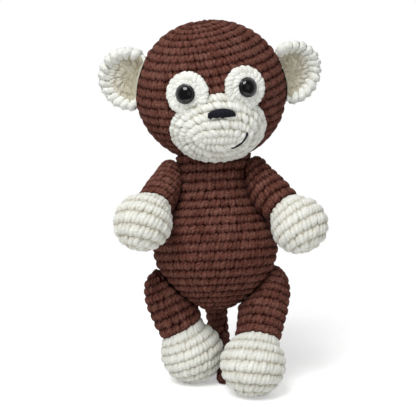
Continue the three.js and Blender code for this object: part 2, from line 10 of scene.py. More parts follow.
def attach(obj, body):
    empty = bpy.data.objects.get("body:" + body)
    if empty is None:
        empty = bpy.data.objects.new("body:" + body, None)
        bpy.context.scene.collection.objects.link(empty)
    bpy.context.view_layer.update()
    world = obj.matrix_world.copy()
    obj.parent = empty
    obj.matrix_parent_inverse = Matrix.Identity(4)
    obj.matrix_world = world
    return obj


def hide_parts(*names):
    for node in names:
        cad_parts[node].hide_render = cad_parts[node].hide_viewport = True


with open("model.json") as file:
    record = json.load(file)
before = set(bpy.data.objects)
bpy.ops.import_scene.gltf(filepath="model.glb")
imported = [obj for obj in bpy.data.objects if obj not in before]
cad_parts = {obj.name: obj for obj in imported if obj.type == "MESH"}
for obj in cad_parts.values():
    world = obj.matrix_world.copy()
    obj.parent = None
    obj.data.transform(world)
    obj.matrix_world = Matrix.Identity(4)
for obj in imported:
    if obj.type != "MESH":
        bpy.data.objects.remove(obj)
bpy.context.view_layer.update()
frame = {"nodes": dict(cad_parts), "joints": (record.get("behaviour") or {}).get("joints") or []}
rng = np.random.default_rng(7)
print("frame loaded:", len(frame["nodes"]), "nodes")

# Shapes are worked out in millimetres and become metres when a mesh is made.


def turnAbout(axis, angle):
    return np.array(Matrix.Rotation(math.radians(angle), 3, axis))


def unit(v):
    return v / np.maximum(np.linalg.norm(v, axis=-1, keepdims=True), 1e-9)


def turnZTo(direction):
    # the smallest turn that takes +Z to a direction
    z = unit(np.asarray(direction, float))
    axis = np.cross([0, 0, 1.0], z)
    size = np.linalg.norm(axis)
    if size < 1e-9:
        return np.eye(3) if z[2] > 0 else np.diag([1.0, -1.0, -1.0])
    return np.array(Matrix.Rotation(math.atan2(size, z[2]), 3, axis / size))


# Torso and head: their values come first, because all else is placed from them

torsoShape = {
    "radius": 33.6, "bellyHeight": 37.0, "bellyPower": 1.4, "waistRadius": 18.8, "waistHeight": 75.0,
    "flankPower": 2.4, "rimRadius": 19.9, "height": 85.7, "uneven": 0.35, "lastRow": 1.0, "shellEnd": 1.5,
    "clearTo": 90.0,      # neighbours stand clear of it up to this height
}
headShape = {"halfWidth": 40.8, "radius": 38.2, "poleLean": 9.0, "uneven": 0.4, "neckHole": 6.5}
stance = {
    "leanBack": 7.5,      # degrees the torso leans away from the camera
    "leanSide": 1.45,
    "seatHeight": 37.9,   # the torso's lowest point over the floor
    "torsoShift": 2.2,
    "cupRadius": 38.8,    # the head's radius and a gap of 0.6 to the torso's rim
    "headNod": 18.5,
    "headTurn": 3.4,
    "headTilt": 1.35,
}
headLift = torsoShape["height"] + math.sqrt(stance["cupRadius"] ** 2 - torsoShape["rimRadius"] ** 2)
torsoTurn = turnAbout("X", -stance["leanBack"]) @ turnAbout("Y", -stance["leanSide"])
headPlace = next(np.array(j["pos_m"]) * 1000 for j in frame["joints"] if j["name"] == "neck_turn")
torsoPlace = headPlace - torsoTurn @ np.array([0, 0, headLift])
headTurn = (
    torsoTurn @ turnAbout("Z", stance["headTurn"]) @ turnAbout("Y", -stance["headTilt"])
    @ turnAbout("X", stance["headNod"])
)
headRadii = np.array([headShape["halfWidth"], headShape["radius"], headShape["radius"]])
standPlace = torsoPlace - np.array([stance["torsoShift"], 0, stance["seatHeight"]])


def inTorso(points):
    return np.asarray(points, float) @ torsoTurn.T + torsoPlace


def inTorsoFrame(points):
    return (points - torsoPlace) @ torsoTurn


def inHead(points):
    return np.asarray(points, float) @ headTurn.T + headPlace


def inHeadFrame(points):
    return (points - headPlace) @ headTurn


# Surfaces: a grid of points, even along the meridian and even around each ring

gridFine = {"around": 144, "step": 0.8}
surfaceWaves = {"count": 7, "slow": 0.05, "quick": 0.16, "share": 2.6}


def oneTurn(count):
    return np.arange(count) / count * 2 * math.pi


def waves(points, count, slow, quick, share=1.0):
    # waves in all directions, which make a surface uneven
    total = np.zeros(points.shape[:-1])
    for _ in range(count):
        direction = unit(rng.normal(size=3)) * rng.uniform(slow, quick)
        total += np.sin(points @ direction + rng.uniform(0, 6.28)) / share
    return total


def surfaceFrom(points, step, uneven, flip=False, openEnd=False):
    around = np.roll(points, -1, 1) - np.roll(points, 1, 1)
    along = np.gradient(points, axis=0)
    normals = unit(np.cross(around, along)) * (-1 if flip else 1)
    normals[0] = unit(normals[1].mean(0))
    if not openEnd:
        normals[-1] = unit(normals[-2].mean(0))
    points = points + normals * (uneven * waves(points, **surfaceWaves))[..., None]
    rings = np.linalg.norm(np.roll(points, -1, 1) - points, axis=-1).sum(1)
    return {"points": points, "normals": normals, "step": step, "rings": rings}


def surfaceLength(surface):
    return (len(surface["points"]) - 1) * surface["step"]


def onSurface(surface, turn, along):
    # points and outward normals at (turn 0-1, mm along the meridian)
    grid, normals = surface["points"], surface["normals"]
    rows, columns = grid.shape[:2]
    i = np.clip(along / surface["step"], 0, rows - 1.001)
    j = (turn % 1.0) * columns
    i0, j0 = i.astype(int), j.astype(int) % columns
    fi, fj = (i - i0)[..., None], (j - np.floor(j))[..., None]
    j1 = (j0 + 1) % columns

    def mix(a):
        here, beyond = (a[k, j0] * (1 - fj) + a[k, j1] * fj for k in (i0, i0 + 1))
        return here * (1 - fi) + beyond * fi
    return mix(grid), unit(mix(normals))


def evenOutline(outline, step):
    outline = np.asarray(outline, float)
    lengths = np.concatenate([[0], np.cumsum(np.linalg.norm(np.diff(outline, axis=0), axis=1))])
    count = int(math.ceil(lengths[-1] / step)) + 1
    marks = np.linspace(0, lengths[-1], count)
    even = np.stack([np.interp(marks, lengths, outline[:, c]) for c in range(outline.shape[1])], 1)
    return even, lengths[-1] / (count - 1)


def spun(outline, count):
    # an outline of (radius, height) turned about Z
    angle = oneTurn(count)
    radius, height = outline[:, :1], outline[:, 1:]
    return np.stack([radius * np.cos(angle), radius * np.sin(angle), np.repeat(height, count, 1)], -1)


def turnedSurface(outline, turn, place, uneven, openEnd=False, shape=None):
    # the outline starts at a pole; shape moves points that would touch a neighbour
    even, step = evenOutline(outline, gridFine["step"])
    points = spun(even, gridFine["around"]) @ turn.T + place
    return surfaceFrom(shape(points) if shape else points, step, uneven, openEnd=openEnd)


def evenRound(loop, count):
    # spreads the points of closed loops evenly round them; loop is (rows, n, 3)
    closed = np.concatenate([loop, loop[:, :1]], 1)
    steps = np.linalg.norm(np.diff(closed, axis=1), axis=-1)
    out = np.empty((loop.shape[0], count, 3))
    for r in range(loop.shape[0]):
        lengths = np.concatenate([[0], np.cumsum(steps[r])])
        marks = np.arange(count) / count * lengths[-1]
        for c in range(3):
            out[r, :, c] = np.interp(marks, lengths, closed[r, :, c])
    return out


# Yarn: each stitch is two short strands that meet low down and spread towards the next row

strandShape = {
    "rings": 6,
    "facets": np.radians([-118, -70, -23, 23, 70, 118]),
    "capReach": 0.6,
    "proud": 0.25,        # height below which a strand's colour takes painted shade
    "twistStart": 9.0,    # how far the twist may differ from strand to strand
}
textureShare = {"cap": 0.08, "inset": 0.06, "shell": 0.16, "shellUsed": 0.15}


def strandMesh(centre, outward, radius, lift, tone, deep=1.7, flat=1.0):
    count, rings = centre.shape[:2]
    facets = strandShape["facets"]
    sides = len(facets)
    tangent = unit(np.gradient(centre, axis=1))
    across = unit(np.cross(outward, tangent))
    up = np.cross(tangent, across)
    spoke = np.cos(facets)[:, None] * flat * up[:, :, None, :] + np.sin(facets)[:, None] * across[:, :, None, :]
    ringPoints = centre[:, :, None, :] + radius[:, :, None, None] * spoke
    reach = strandShape["capReach"]
    first = centre[:, 0] - tangent[:, 0] * radius[:, :1] * reach
    last = centre[:, -1] + tangent[:, -1] * radius[:, -1:] * reach
    points = np.concatenate([first[:, None], ringPoints.reshape(count, rings * sides, 3), last[:, None]], 1)
    walk = np.cumsum(np.linalg.norm(np.diff(centre, axis=1), axis=-1), 1)
    length = np.concatenate([np.zeros((count, 1)), walk], 1)
    turn = np.broadcast_to(facets / (2 * math.pi), (count, rings, sides)).reshape(count, -1)
    along = np.repeat(length + tone[:, None] * strandShape["twistStart"], sides, 1)
    coord = np.zeros((count, points.shape[1], 3))
    coord[:, 1:-1, 0] = turn
    coord[:, 1:-1, 1] = along
    coord[:, 0, 1] = along[:, 0]
    coord[:, -1, 1] = along[:, -1]
    coord[:, :, 2] = tone[:, None]
    height = lift[:, :, None] + radius[:, :, None] * flat * np.cos(facets)
    # how far each point lies below the strand's top: the amount of painted shade
    depth = np.empty(points.shape[:2])
    depth[:, 1:-1] = np.clip((strandShape["proud"] - height) / deep, 0, 1).reshape(count, -1)
    depth[:, 0] = depth[:, 1:1 + sides].max(1)
    depth[:, -1] = depth[:, -1 - sides:-1].max(1)
    return {"points": points, "coord": coord, "depth": depth, "rings": rings, "sides": sides}


def strandFaces(rings, sides):
    # faces of one strand and their places in its own square of the texture
    faces, places = [], []
    cap, end = textureShare["cap"], 1 + rings * sides
    a = end - sides
    for m in range(sides):
        n = (m + 1) % sides
        left, right = m / sides, (m + 1) / sides
        faces.append((0, 1 + m, 1 + n))
        places.append(((left + right) / 2, 0, left, cap, right, cap))
        for k in range(rings - 1):
            low, high = (cap + (1 - 2 * cap) * i / (rings - 1) for i in (k, k + 1))
            b, c = 1 + k * sides, 1 + (k + 1) * sides
            faces.append((b + m, c + m, c + n, b + n))
            places.append((left, low, left, high, right, high, right, low))
        faces.append((end, a + n, a + m))
        places.append(((left + right) / 2, 1, right, 1 - cap, left, 1 - cap))
    return faces, places


def joinStrands(batches):
    # one flat mesh of many strands, each with its own cell of the texture
    total = sum(b["points"].shape[0] for b in batches)
    columns = max(1, int(math.ceil(math.sqrt(total))))
    cell = 1.0 / columns
    points, coord, depth, loops, sizes, uvs = [], [], [], [], [], []
    offset, index = 0, 0
    for batch in batches:
        count, each = batch["points"].shape[:2]
        faces, places = strandFaces(batch["rings"], batch["sides"])
        flatLoops = np.concatenate([np.array(f) for f in faces])
        flatUv = np.concatenate([np.array(p) for p in places]).reshape(-1, 2)
        starts = offset + np.arange(count) * each
        loops.append((starts[:, None] + flatLoops).ravel())
        sizes.append(np.tile([len(f) for f in faces], count))
        number = index + np.arange(count)
        corner = np.stack([number % columns, number // columns], 1) * cell
        inset, shell = textureShare["inset"], textureShare["shell"]
        own = corner[:, None, :] + (inset + flatUv * (1 - 2 * inset)) * cell
        own[..., 1] = shell + own[..., 1] * (1 - shell)
        uvs.append(own.reshape(-1, 2))
        points.append(batch["points"].reshape(-1, 3))
        coord.append(batch["coord"].reshape(-1, 3))
        depth.append(batch["depth"].ravel())
        offset += count * each
        index += count
    return {
        key: np.concatenate(lists) for key, lists in (
            ("points", points), ("coord", coord), ("depth", depth), ("loops", loops), ("sizes", sizes), ("uvs", uvs))
    }


def gridMesh(points, uvHeight=textureShare["shellUsed"], depth=1.0):
    # rows of points, closed round each row
    rows, columns = points.shape[:2]
    i, j = np.meshgrid(np.arange(rows - 1), np.arange(columns), indexing="ij")
    k = (j + 1) % columns
    loops = np.stack([i * columns + j, i * columns + k, (i + 1) * columns + k, (i + 1) * columns + j], -1)
    us = np.stack([j, j + 1, j + 1, j], -1) / columns
    vs = np.stack([i, i, i + 1, i + 1], -1) / (rows - 1)
    coord = np.zeros((rows * columns, 3))
    coord[:, 2] = 0.5
    return {
        "points": points.reshape(-1, 3), "coord": coord,
        "depth": np.broadcast_to(np.asarray(depth, float), (rows, columns)).ravel(),
        "loops": loops.ravel(), "sizes": np.full(i.size, 4), "uvs": np.stack([us, vs * uvHeight], -1).reshape(-1, 2),
    }


def joinMeshes(parts):
    offset = 0
    loops = []
    for part in parts:
        loops.append(part["loops"] + offset)
        offset += len(part["points"])
    joined = {k: np.concatenate([p[k] for p in parts]) for k in ("points", "coord", "depth", "sizes", "uvs")}
    joined["loops"] = np.concatenate(loops)
    return joined


def makePiece(name, data, material, body, nodes):
    mesh = bpy.data.meshes.new(name)
    points, loops, sizes = data["points"] * 0.001, data["loops"], data["sizes"]
    points[:, 2] = np.maximum(points[:, 2], 0.00003)   # stuffed feet press flat on the floor
    starts = np.concatenate([[0], np.cumsum(sizes)[:-1]])
    mesh.vertices.add(len(points))
    mesh.loops.add(len(loops))
    mesh.polygons.add(len(sizes))
    mesh.vertices.foreach_set("co", points.astype(np.float32).ravel())
    mesh.loops.foreach_set("vertex_index", loops.astype(np.int32))
    mesh.polygons.foreach_set("loop_start", starts.astype(np.int32))
    mesh.polygons.foreach_set("loop_total", sizes.astype(np.int32))
    mesh.update(calc_edges=True)
    mesh.validate()
    mesh.uv_layers.new(name="OFBake").data.foreach_set("uv", data["uvs"].astype(np.float32).ravel())
    coord = mesh.attributes.new("yarnCoord", "FLOAT_VECTOR", "POINT")
    coord.data.foreach_set("vector", data["coord"].astype(np.float32).ravel())
    # how deep each point lies, which sets the painted shade in the material
    depth = mesh.attributes.new("yarnShadeDepth", "FLOAT", "POINT")
    depth.data.foreach_set("value", data["depth"].astype(np.float32))
    mesh.shade_smooth()
    mesh.materials.append(material)
    piece = bpy.data.objects.new(name, mesh)
    bpy.context.scene.collection.objects.link(piece)
    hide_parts(*nodes)
    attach(piece, body)


# Crochet over a surface

brownYarn = {
    "width": 4.45, "height": 4.95, "thick": 0.345, "flat": 0.8, "sink": 1.0, "dive": 1.7, "spread": (0.14, 0.34),
    "slant": 0.34, "crown": 0.75, "groove": 2.15,
}
creamYarn = {
    "width": 4.6, "height": 5.1, "thick": 0.345, "flat": 0.75, "sink": 1.05, "dive": 1.8, "spread": (0.15, 0.33),
    "slant": 0.42, "crown": 0.75, "groove": 2.2,
}

stitchShape = {
    "lean": 0.3, "leanUneven": 0.25,    # how far each row starts past the one below, in stitches
    "start": -0.1, "rise": 1.06,        # a stitch's ends, in rows
    "wobble": 0.035, "liftWobble": 0.09, "thickWobble": 0.03,
    "spare": 2.8, "leastRoom": 0.3,     # where another piece leaves less room than a stitch needs
    "ropeMiddle": 0.44, "ropeWave": 0.09,
}


def rowPlan(surface, yarn, start, end, firstCount=6, spiral=1.0, phase=0.2):
    # where each row starts, its height and how many stitches it has; rounds start at the back
    v = stitchShape
    count = max(1, int(round((end - start) / yarn["height"])))
    height = (end - start) / count
    rows = []
    for k in range(-1 if start == 0 and spiral else 0, count):
        middle = int(np.clip((start + (k + 0.6) * height) / surface["step"], 0, len(surface["rings"]) - 1))
        stitches = max(firstCount, int(round(surface["rings"][middle] / yarn["width"])))
        rows.append({
            "at": start + k * height, "height": height, "count": stitches, "phase": phase, "spiral": spiral,
            "wide": surface["rings"][middle] / stitches,
        })
        phase += (v["lean"] + rng.uniform(-v["leanUneven"], v["leanUneven"])) / stitches
    return rows


def crochet(surface, yarn, rows, keep=None, jitter=1.0):
    # strands of every stitch in the rows; keep drops those that another piece hides
    v, plan = stitchShape, []
    for row in rows:
        n = row["count"]
        j, same = np.arange(n), np.ones(n)
        for leg in (-1, 1):
            plan.append(np.stack([
                row["phase"] + j / n, row["at"] + row["height"] * j / n * row["spiral"], same / n,
                same * row["height"], same * leg, rng.uniform(0, 1, n), same * row["wide"],
            ]))
    turn, along, share, high, side, spin, width = np.concatenate(plan, 1)
    total = len(turn)
    t = np.linspace(0, 1, strandShape["rings"])[None]
    wobble = rng.normal(0, v["wobble"] * jitter, (total, 3))
    narrow, wide = yarn["spread"]
    spread = narrow + (wide - narrow) * t ** 0.85
    across = side[:, None] * (spread + wobble[:, :1]) + (t - 0.5) * yarn["slant"] + wobble[:, 1:2]
    up = v["start"] + v["rise"] * t + wobble[:, 2:3] * 0.5
    room = np.ones(total)
    if "free" in surface:
        # near another piece a stitch is drawn in to the room that is left
        free = surface["free"]
        column = (turn % 1.0 * free.shape[1]).astype(int) % free.shape[1]
        ends = np.where(free.all(0), 1e3, free.argmin(0) * surface["step"])[column]
        room = np.clip((ends + v["spare"] - along) / high, 0, 1)
        up = up * room[:, None]
    place, outward = onSurface(surface, turn[:, None] + share[:, None] * across, along[:, None] + high[:, None] * up)
    crest = np.sin(math.pi * (t * 0.96 + 0.02)) ** 0.8
    lift = -yarn["sink"] - yarn["dive"] * (1 - crest) + rng.normal(0, v["liftWobble"] * jitter, (total, 1))
    lift = lift * np.minimum(high[:, None] / yarn["height"], 1.15)
    width = np.clip(width, yarn["width"] * 0.6, yarn["width"] * 1.25)
    handmade = 1 + rng.normal(0, v["thickWobble"] * jitter, (total, 1))
    radius = width[:, None] * yarn["thick"] * (0.8 + 0.22 * crest) * handmade
    centre = place + outward * lift[..., None]
    chosen = (along + 0.6 * high > 0.4) & (room > v["leastRoom"])
    if keep is not None:
        chosen = chosen & keep(centre[:, strandShape["rings"] // 2])
    return strandMesh(centre[chosen], outward[chosen], radius[chosen], lift[chosen], spin[chosen], flat=yarn["flat"])


def ropeShell(surface, yarn, rows, start, end, closed=True, wall=0.9, fine=False):
    # the yarn behind the stitches: a rope for each row, with a wavy groove between ropes that gets painted shade
    v = stitchShape
    low = max(0, int(start / surface["step"]))
    high = min(len(surface["points"]) - 1, int(round(end / surface["step"])))
    picks = np.arange(low, high + 1)
    every = 1 if fine or surface["rings"].max() > 110 else 2
    grid, normals = surface["points"][picks][:, ::every], surface["normals"][picks][:, ::every]
    turn = np.arange(grid.shape[1])[None] / grid.shape[1]
    along = (picks * surface["step"])[:, None] + 0 * turn
    deep, proud = yarn["groove"], yarn["crown"]
    lift = np.full(along.shape, -(deep + proud) / 2)
    for row in rows:
        since = (turn - row["phase"]) % 1.0
        wave = v["ropeWave"] * np.cos(2 * math.pi * since * row["count"])
        height = (along - row["at"]) / row["height"] - since * row["spiral"] + wave - v["ropeMiddle"]
        rope = np.cos(math.pi * height).clip(0) ** 0.7
        lift = np.where(np.abs(height) < 0.5, -deep + (deep - proud) * rope, lift)
    outer = grid + normals * lift[..., None]
    inner = grid - normals * (deep + wall)
    if "free" in surface:
        # drawn in where another piece is
        hidden = ~surface["free"][picks][:, ::every]
        for layer, share in ((outer, 0.86), (inner, 0.80)):
            layer[hidden] = surface["middle"] + (grid[hidden] - surface["middle"]) * share
    # painted shade, more the deeper the groove
    depth = np.clip((-0.6 - lift) / 1.7, 0, 1)
    middle = len(outer) // 2
    turned = np.cross(outer[middle, 1] - outer[middle, 0], outer[middle + 1, 0] - outer[middle, 0])
    if turned @ normals[middle, 0] < 0:
        outer, inner, depth = outer[:, ::-1], inner[:, ::-1], depth[:, ::-1]
    if closed:
        return gridMesh(outer, depth=depth)
    back = np.unique(np.concatenate([np.arange(len(inner) - 1, 0, -3), [0]]))[::-1]
    # full painted shade on the inner wall behind the open end
    depth = np.concatenate([depth, np.ones((len(back), depth.shape[1]))], 0)
    return gridMesh(np.concatenate([outer, inner[back]], 0), depth=depth)


def coverMesh(surface, yarn, rows, start, end, more=(), keep=None, jitter=1.0, **shell):
    # the stitches, what makers in more add to them, and the shell behind
    strands = [crochet(surface, yarn, rows, keep, jitter)] + [maker() for maker in more]
    return joinMeshes([joinStrands(strands), ropeShell(surface, yarn, rows, start, end, **shell)])


def straightStrands(starts, ends, outward, radius, bow):
    # short stitches of sewing yarn from point to point, bowed outward
    t = np.linspace(0, 1, strandShape["rings"])[None, :, None]
    outward = unit(outward)
    centre = starts[:, None] * (1 - t) + ends[:, None] * t + outward[:, None] * (np.sin(math.pi * t) * bow)
    normals = np.broadcast_to(outward[:, None], centre.shape)
    lift = np.broadcast_to(np.sin(math.pi * t[..., 0]) * bow - 0.6, centre.shape[:2])
    return strandMesh(centre, normals, np.full(centre.shape[:2], radius), lift, rng.uniform(0, 1, len(starts)))


# Materials

def setInputs(tree, node, inputs):
    for name, value in inputs.items():
        if isinstance(value, bpy.types.NodeSocket):
            tree.links.new(value, node.inputs[name])
        else:
            node.inputs[name].default_value = value


def addNode(tree, kind, inputs=None, **settings):
    node = tree.nodes.new(kind)
    for key, value in settings.items():
        setattr(node, key, value)
    setInputs(tree, node, inputs or {})
    return node


def mathNode(tree, operation, a, b=None, clamp=False):
    inputs = {0: a} if b is None else {0: a, 1: b}
    return addNode(tree, "ShaderNodeMath", inputs, operation=operation, use_clamp=clamp).outputs[0]


def mixColour(tree, factor, a, b):
    return addNode(tree, "ShaderNodeMix", {0: factor, 6: a, 7: b}, data_type="RGBA", clamp_factor=True).outputs[2]


def noiseNode(tree, place, scale, detail, roughness=0.5):
    inputs = {"Vector": place, "Scale": scale, "Detail": detail, "Roughness": roughness}
    return addNode(tree, "ShaderNodeTexNoise", inputs, noise_dimensions="3D").outputs[0]


def rangeNode(tree, value, low, high, start=0.0, end=1.0, kind="LINEAR"):
    inputs = {"Value": value, "From Min": start, "From Max": end, "To Min": low, "To Max": high}
    return addNode(tree, "ShaderNodeMapRange", inputs, interpolation_type=kind).outputs[0]


def bumpNode(tree, height, values):
    inputs = {"Strength": values["bump"], "Distance": values["bumpDepth"] * 0.001, "Height": height}
    return addNode(tree, "ShaderNodeBump", inputs).outputs["Normal"]


def newGroup(name, inputs, outputs):
    tree = bpy.data.node_groups.new(name, "ShaderNodeTree")
    for label, value in inputs.items():
        kind = "Float" if isinstance(value, float) else {3: "Vector", 4: "Color"}[len(value)]
        tree.interface.new_socket(label, in_out="INPUT", socket_type="NodeSocket" + kind).default_value = value
    for label, kind in outputs.items():
        tree.interface.new_socket(label, in_out="OUTPUT", socket_type="NodeSocket" + kind)
    return tree, addNode(tree, "NodeGroupInput").outputs, addNode(tree, "NodeGroupOutput")


twistShape = {"wanderScale": 420.0, "wander": 0.22, "plyRound": 0.6, "fibresAround": 46.0, "fibreLength": 2.6}
toneShape = {
    "patchScale": 150.0, "patch": 0.9, "fibreMiddle": 0.44, "fibreContrast": 4.4, "proudShare": 0.75,
    "groovePower": 1.6, "depthPower": 1.25,
}


def yarnTwistGroup():
    # the plies that wind round a strand and the fine fibres in them, as a height
    v = twistShape
    tree, given, result = newGroup("yarnTwist", {
        "Strand": (0, 0, 0), "Place": (0, 0, 0), "Plies": 4.0, "Pitch": 5.0, "Fibre Size": 0.25, "Fibre Share": 0.5,
    }, {"Height": "Float", "Groove": "Float", "Fibre": "Float"})
    calc = partial(mathNode, tree)
    around, along, own = addNode(tree, "ShaderNodeSeparateXYZ", {0: given["Strand"]}).outputs
    turns = calc("ADD", around, calc("DIVIDE", along, given["Pitch"]))
    wander = calc("SUBTRACT", noiseNode(tree, given["Place"], v["wanderScale"], 1.0), 0.5)
    phase = calc("MULTIPLY", calc("ADD", turns, calc("MULTIPLY", wander, v["wander"])), given["Plies"])
    wave = calc("ABSOLUTE", calc("SINE", calc("MULTIPLY", phase, math.pi)))
    ply = calc("POWER", wave, v["plyRound"])
    # fibres: noise drawn out along the ply's own direction
    line = addNode(tree, "ShaderNodeCombineXYZ", {
        0: calc("MULTIPLY", calc("ADD", turns, own), v["fibresAround"]),
        1: calc("DIVIDE", along, v["fibreLength"]), 2: own,
    })
    hairs = noiseNode(tree, line.outputs[0], 1.0, 2.0)
    fluff = noiseNode(tree, given["Place"], calc("DIVIDE", 1000.0, given["Fibre Size"]), 3.0, 0.65)
    fibre = calc("MULTIPLY", calc("ADD", hairs, fluff), 0.5)
    share = given["Fibre Share"]
    height = calc("ADD", calc("MULTIPLY", ply, calc("SUBTRACT", 1.0, share)), calc("MULTIPLY", fibre, share))
    setInputs(tree, result, {"Height": height, "Groove": calc("SUBTRACT", 1.0, ply), "Fibre": fibre})
    return tree


def yarnToneGroup():
    # the yarn's colour: lighter on proud fibres, with painted shade, darker and warmer, in the ply grooves and down
    # between the stitches
    v = toneShape
    tree, given, result = newGroup("yarnTone", {
        "Yarn": (0.5, 0.5, 0.5, 1), "Proud Fibre": (0.6, 0.6, 0.6, 1), "Painted Crevice Shade": (0.1, 0.1, 0.1, 1),
        "Depth": 0.0, "Groove": 0.0, "Fibre": 0.5, "Strand": (0, 0, 0), "Place": (0, 0, 0),
        "Uneven Dye": 0.2, "Groove Shade": 0.4, "Depth Shade": 1.0,
    }, {"Colour": "Color"})
    calc = partial(mathNode, tree)
    own = addNode(tree, "ShaderNodeSeparateXYZ", {0: given["Strand"]}).outputs[2]
    patchy = calc("SUBTRACT", noiseNode(tree, given["Place"], v["patchScale"], 2.0), 0.5)
    bright = calc("MULTIPLY", calc("SUBTRACT", given["Fibre"], v["fibreMiddle"]), v["fibreContrast"])
    lightness = calc("ADD", bright, calc("MULTIPLY", patchy, v["patch"]), clamp=True)
    body = mixColour(tree, calc("MULTIPLY", lightness, v["proudShare"]), given["Yarn"], given["Proud Fibre"])
    dye = calc("ADD", 1.0, calc("MULTIPLY", calc("SUBTRACT", own, 0.5), given["Uneven Dye"]))
    dyed = addNode(tree, "ShaderNodeVectorMath", {0: body, 3: dye}, operation="SCALE").outputs[0]
    # painted shade in the grooves between the plies
    groove = calc("MULTIPLY", calc("POWER", given["Groove"], v["groovePower"]), given["Groove Shade"])
    grooved = mixColour(tree, groove, dyed, given["Painted Crevice Shade"])
    # painted shade on the sunk parts of the yarn, darker the deeper they lie
    deep = calc("MULTIPLY", calc("POWER", given["Depth"], v["depthPower"]), given["Depth Shade"], clamp=True)
    setInputs(tree, result, {"Colour": mixColour(tree, deep, grooved, given["Painted Crevice Shade"])})
    return tree


yarnTwist = yarnTwistGroup()
yarnTone = yarnToneGroup()


def newMaterial(name):
    material = bpy.data.materials.new(name)
    material.use_nodes = True
    return material, material.node_tree


def yarnMaterial(name, values):
    material, tree = newMaterial(name)
    strand = addNode(tree, "ShaderNodeAttribute", attribute_name="yarnCoord").outputs["Vector"]
    depth = addNode(tree, "ShaderNodeAttribute", attribute_name="yarnShadeDepth").outputs["Fac"]
    place = addNode(tree, "ShaderNodeTexCoord").outputs["Object"]
    twist = addNode(tree, "ShaderNodeGroup", node_tree=yarnTwist)
    setInputs(tree, twist, {
        "Strand": strand, "Place": place, "Plies": values["plies"], "Pitch": values["pitch"],
        "Fibre Size": values["fibreSize"], "Fibre Share": values["fibreShare"],
    })
    made = twist.outputs
    tone = addNode(tree, "ShaderNodeGroup", node_tree=yarnTone)
    setInputs(tree, tone, {
        "Strand": strand, "Place": place, "Depth": depth, "Groove": made["Groove"], "Fibre": made["Fibre"],
        "Yarn": (*values["yarn"], 1), "Proud Fibre": (*values["proud"], 1), "Painted Crevice Shade": (*values["paintedCreviceShade"], 1),
        "Uneven Dye": values["unevenDye"], "Groove Shade": values["grooveShade"], "Depth Shade": values["depthShade"],
    })
    setInputs(tree, tree.nodes["Principled BSDF"], {
        "Base Color": tone.outputs["Colour"],
        "Roughness": rangeNode(tree, made["Fibre"], values["roughness"] - 0.06, values["roughness"] + 0.05),
        "Normal": bumpNode(tree, made["Height"], values),
        "Specular IOR Level": values["specular"], "Sheen Weight": values["sheen"],
        "Sheen Roughness": 0.6, "Sheen Tint": (*values["sheenTint"], 1),
    })
    return material


# the crevice colours below are painted shade for grooves, crevices and the yarn's sunk parts
brownLook = {
    "yarn": (0.093, 0.0288, 0.020), "proud": (0.305, 0.153, 0.119), "paintedCreviceShade": (0.015, 0.0013, 0.0008),
    "plies": 4.0, "pitch": 6.5, "fibreSize": 0.7, "fibreShare": 0.55, "unevenDye": 0.25, "grooveShade": 0.3,
    "depthShade": 1.4, "bump": 0.8, "bumpDepth": 0.3, "roughness": 0.9, "specular": 0.04,
    "sheen": 0.01, "sheenTint": (0.75, 0.55, 0.48),
}
creamLook = {
    "yarn": (0.70, 0.71, 0.66), "proud": (0.92, 0.94, 0.91), "paintedCreviceShade": (0.40, 0.36, 0.26),
    "plies": 4.0, "pitch": 6.5, "fibreSize": 0.7, "fibreShare": 0.45, "unevenDye": 0.08, "grooveShade": 0.2,
    "depthShade": 0.9, "bump": 0.6, "bumpDepth": 0.25, "roughness": 0.9, "specular": 0.1,
    "sheen": 0.03, "sheenTint": (1.0, 0.98, 0.92),
}
threadLook = {
    "yarn": (0.009, 0.010, 0.015), "proud": (0.026, 0.028, 0.038), "paintedCreviceShade": (0.002, 0.002, 0.003),
    "plies": 3.0, "pitch": 3.2, "fibreSize": 0.25, "fibreShare": 0.35, "unevenDye": 0.3, "grooveShade": 0.5,
    "depthShade": 0.9, "bump": 0.6, "bumpDepth": 0.12, "roughness": 0.6, "specular": 0.1,
    "sheen": 0.0, "sheenTint": (0.5, 0.55, 0.8),
}
brownWool = yarnMaterial("brownWool", brownLook)
creamWool = yarnMaterial("creamWool", creamLook)
darkThread = yarnMaterial("darkThread", threadLook)


def solidMaterial(name, values):
    # smooth plastic or loose fibre: one colour with fine specks, and a grain in its roughness and height
    material, tree = newMaterial(name)
    place = addNode(tree, "ShaderNodeTexCoord").outputs["Object"]
    grain = noiseNode(tree, place, values["grainScale"], 4.0)
    setInputs(tree, tree.nodes["Principled BSDF"], {
        "Base Color": mixColour(tree, grain, (*values["colour"], 1), (*values["speck"], 1)),
        "Roughness": rangeNode(tree, grain, *values["roughness"], 0.3, 0.7),
        "Normal": bumpNode(tree, grain, values),
        "Specular IOR Level": values["specular"],
    })
    return material


eyePlastic = solidMaterial("eyePlastic", {
    "colour": (0.002, 0.002, 0.0022), "speck": (0.004, 0.004, 0.0045), "grainScale": 900.0, "roughness": (0.03, 0.08),
    "bump": 0.05, "bumpDepth": 0.01, "specular": 0.5,
})
washerPlastic = solidMaterial("washerPlastic", {
    "colour": (0.74, 0.74, 0.69), "speck": (0.84, 0.84, 0.80), "grainScale": 700.0, "roughness": (0.38, 0.55),
    "bump": 0.2, "bumpDepth": 0.05, "specular": 0.45,
})
fibreFill = solidMaterial("fibreFill", {
    "colour": (0.78, 0.78, 0.76), "speck": (0.95, 0.95, 0.94), "grainScale": 1600.0, "roughness": (0.9, 1.0),
    "bump": 0.9, "bumpDepth": 0.5, "specular": 0.2,
})
print("materials made")


# Torso

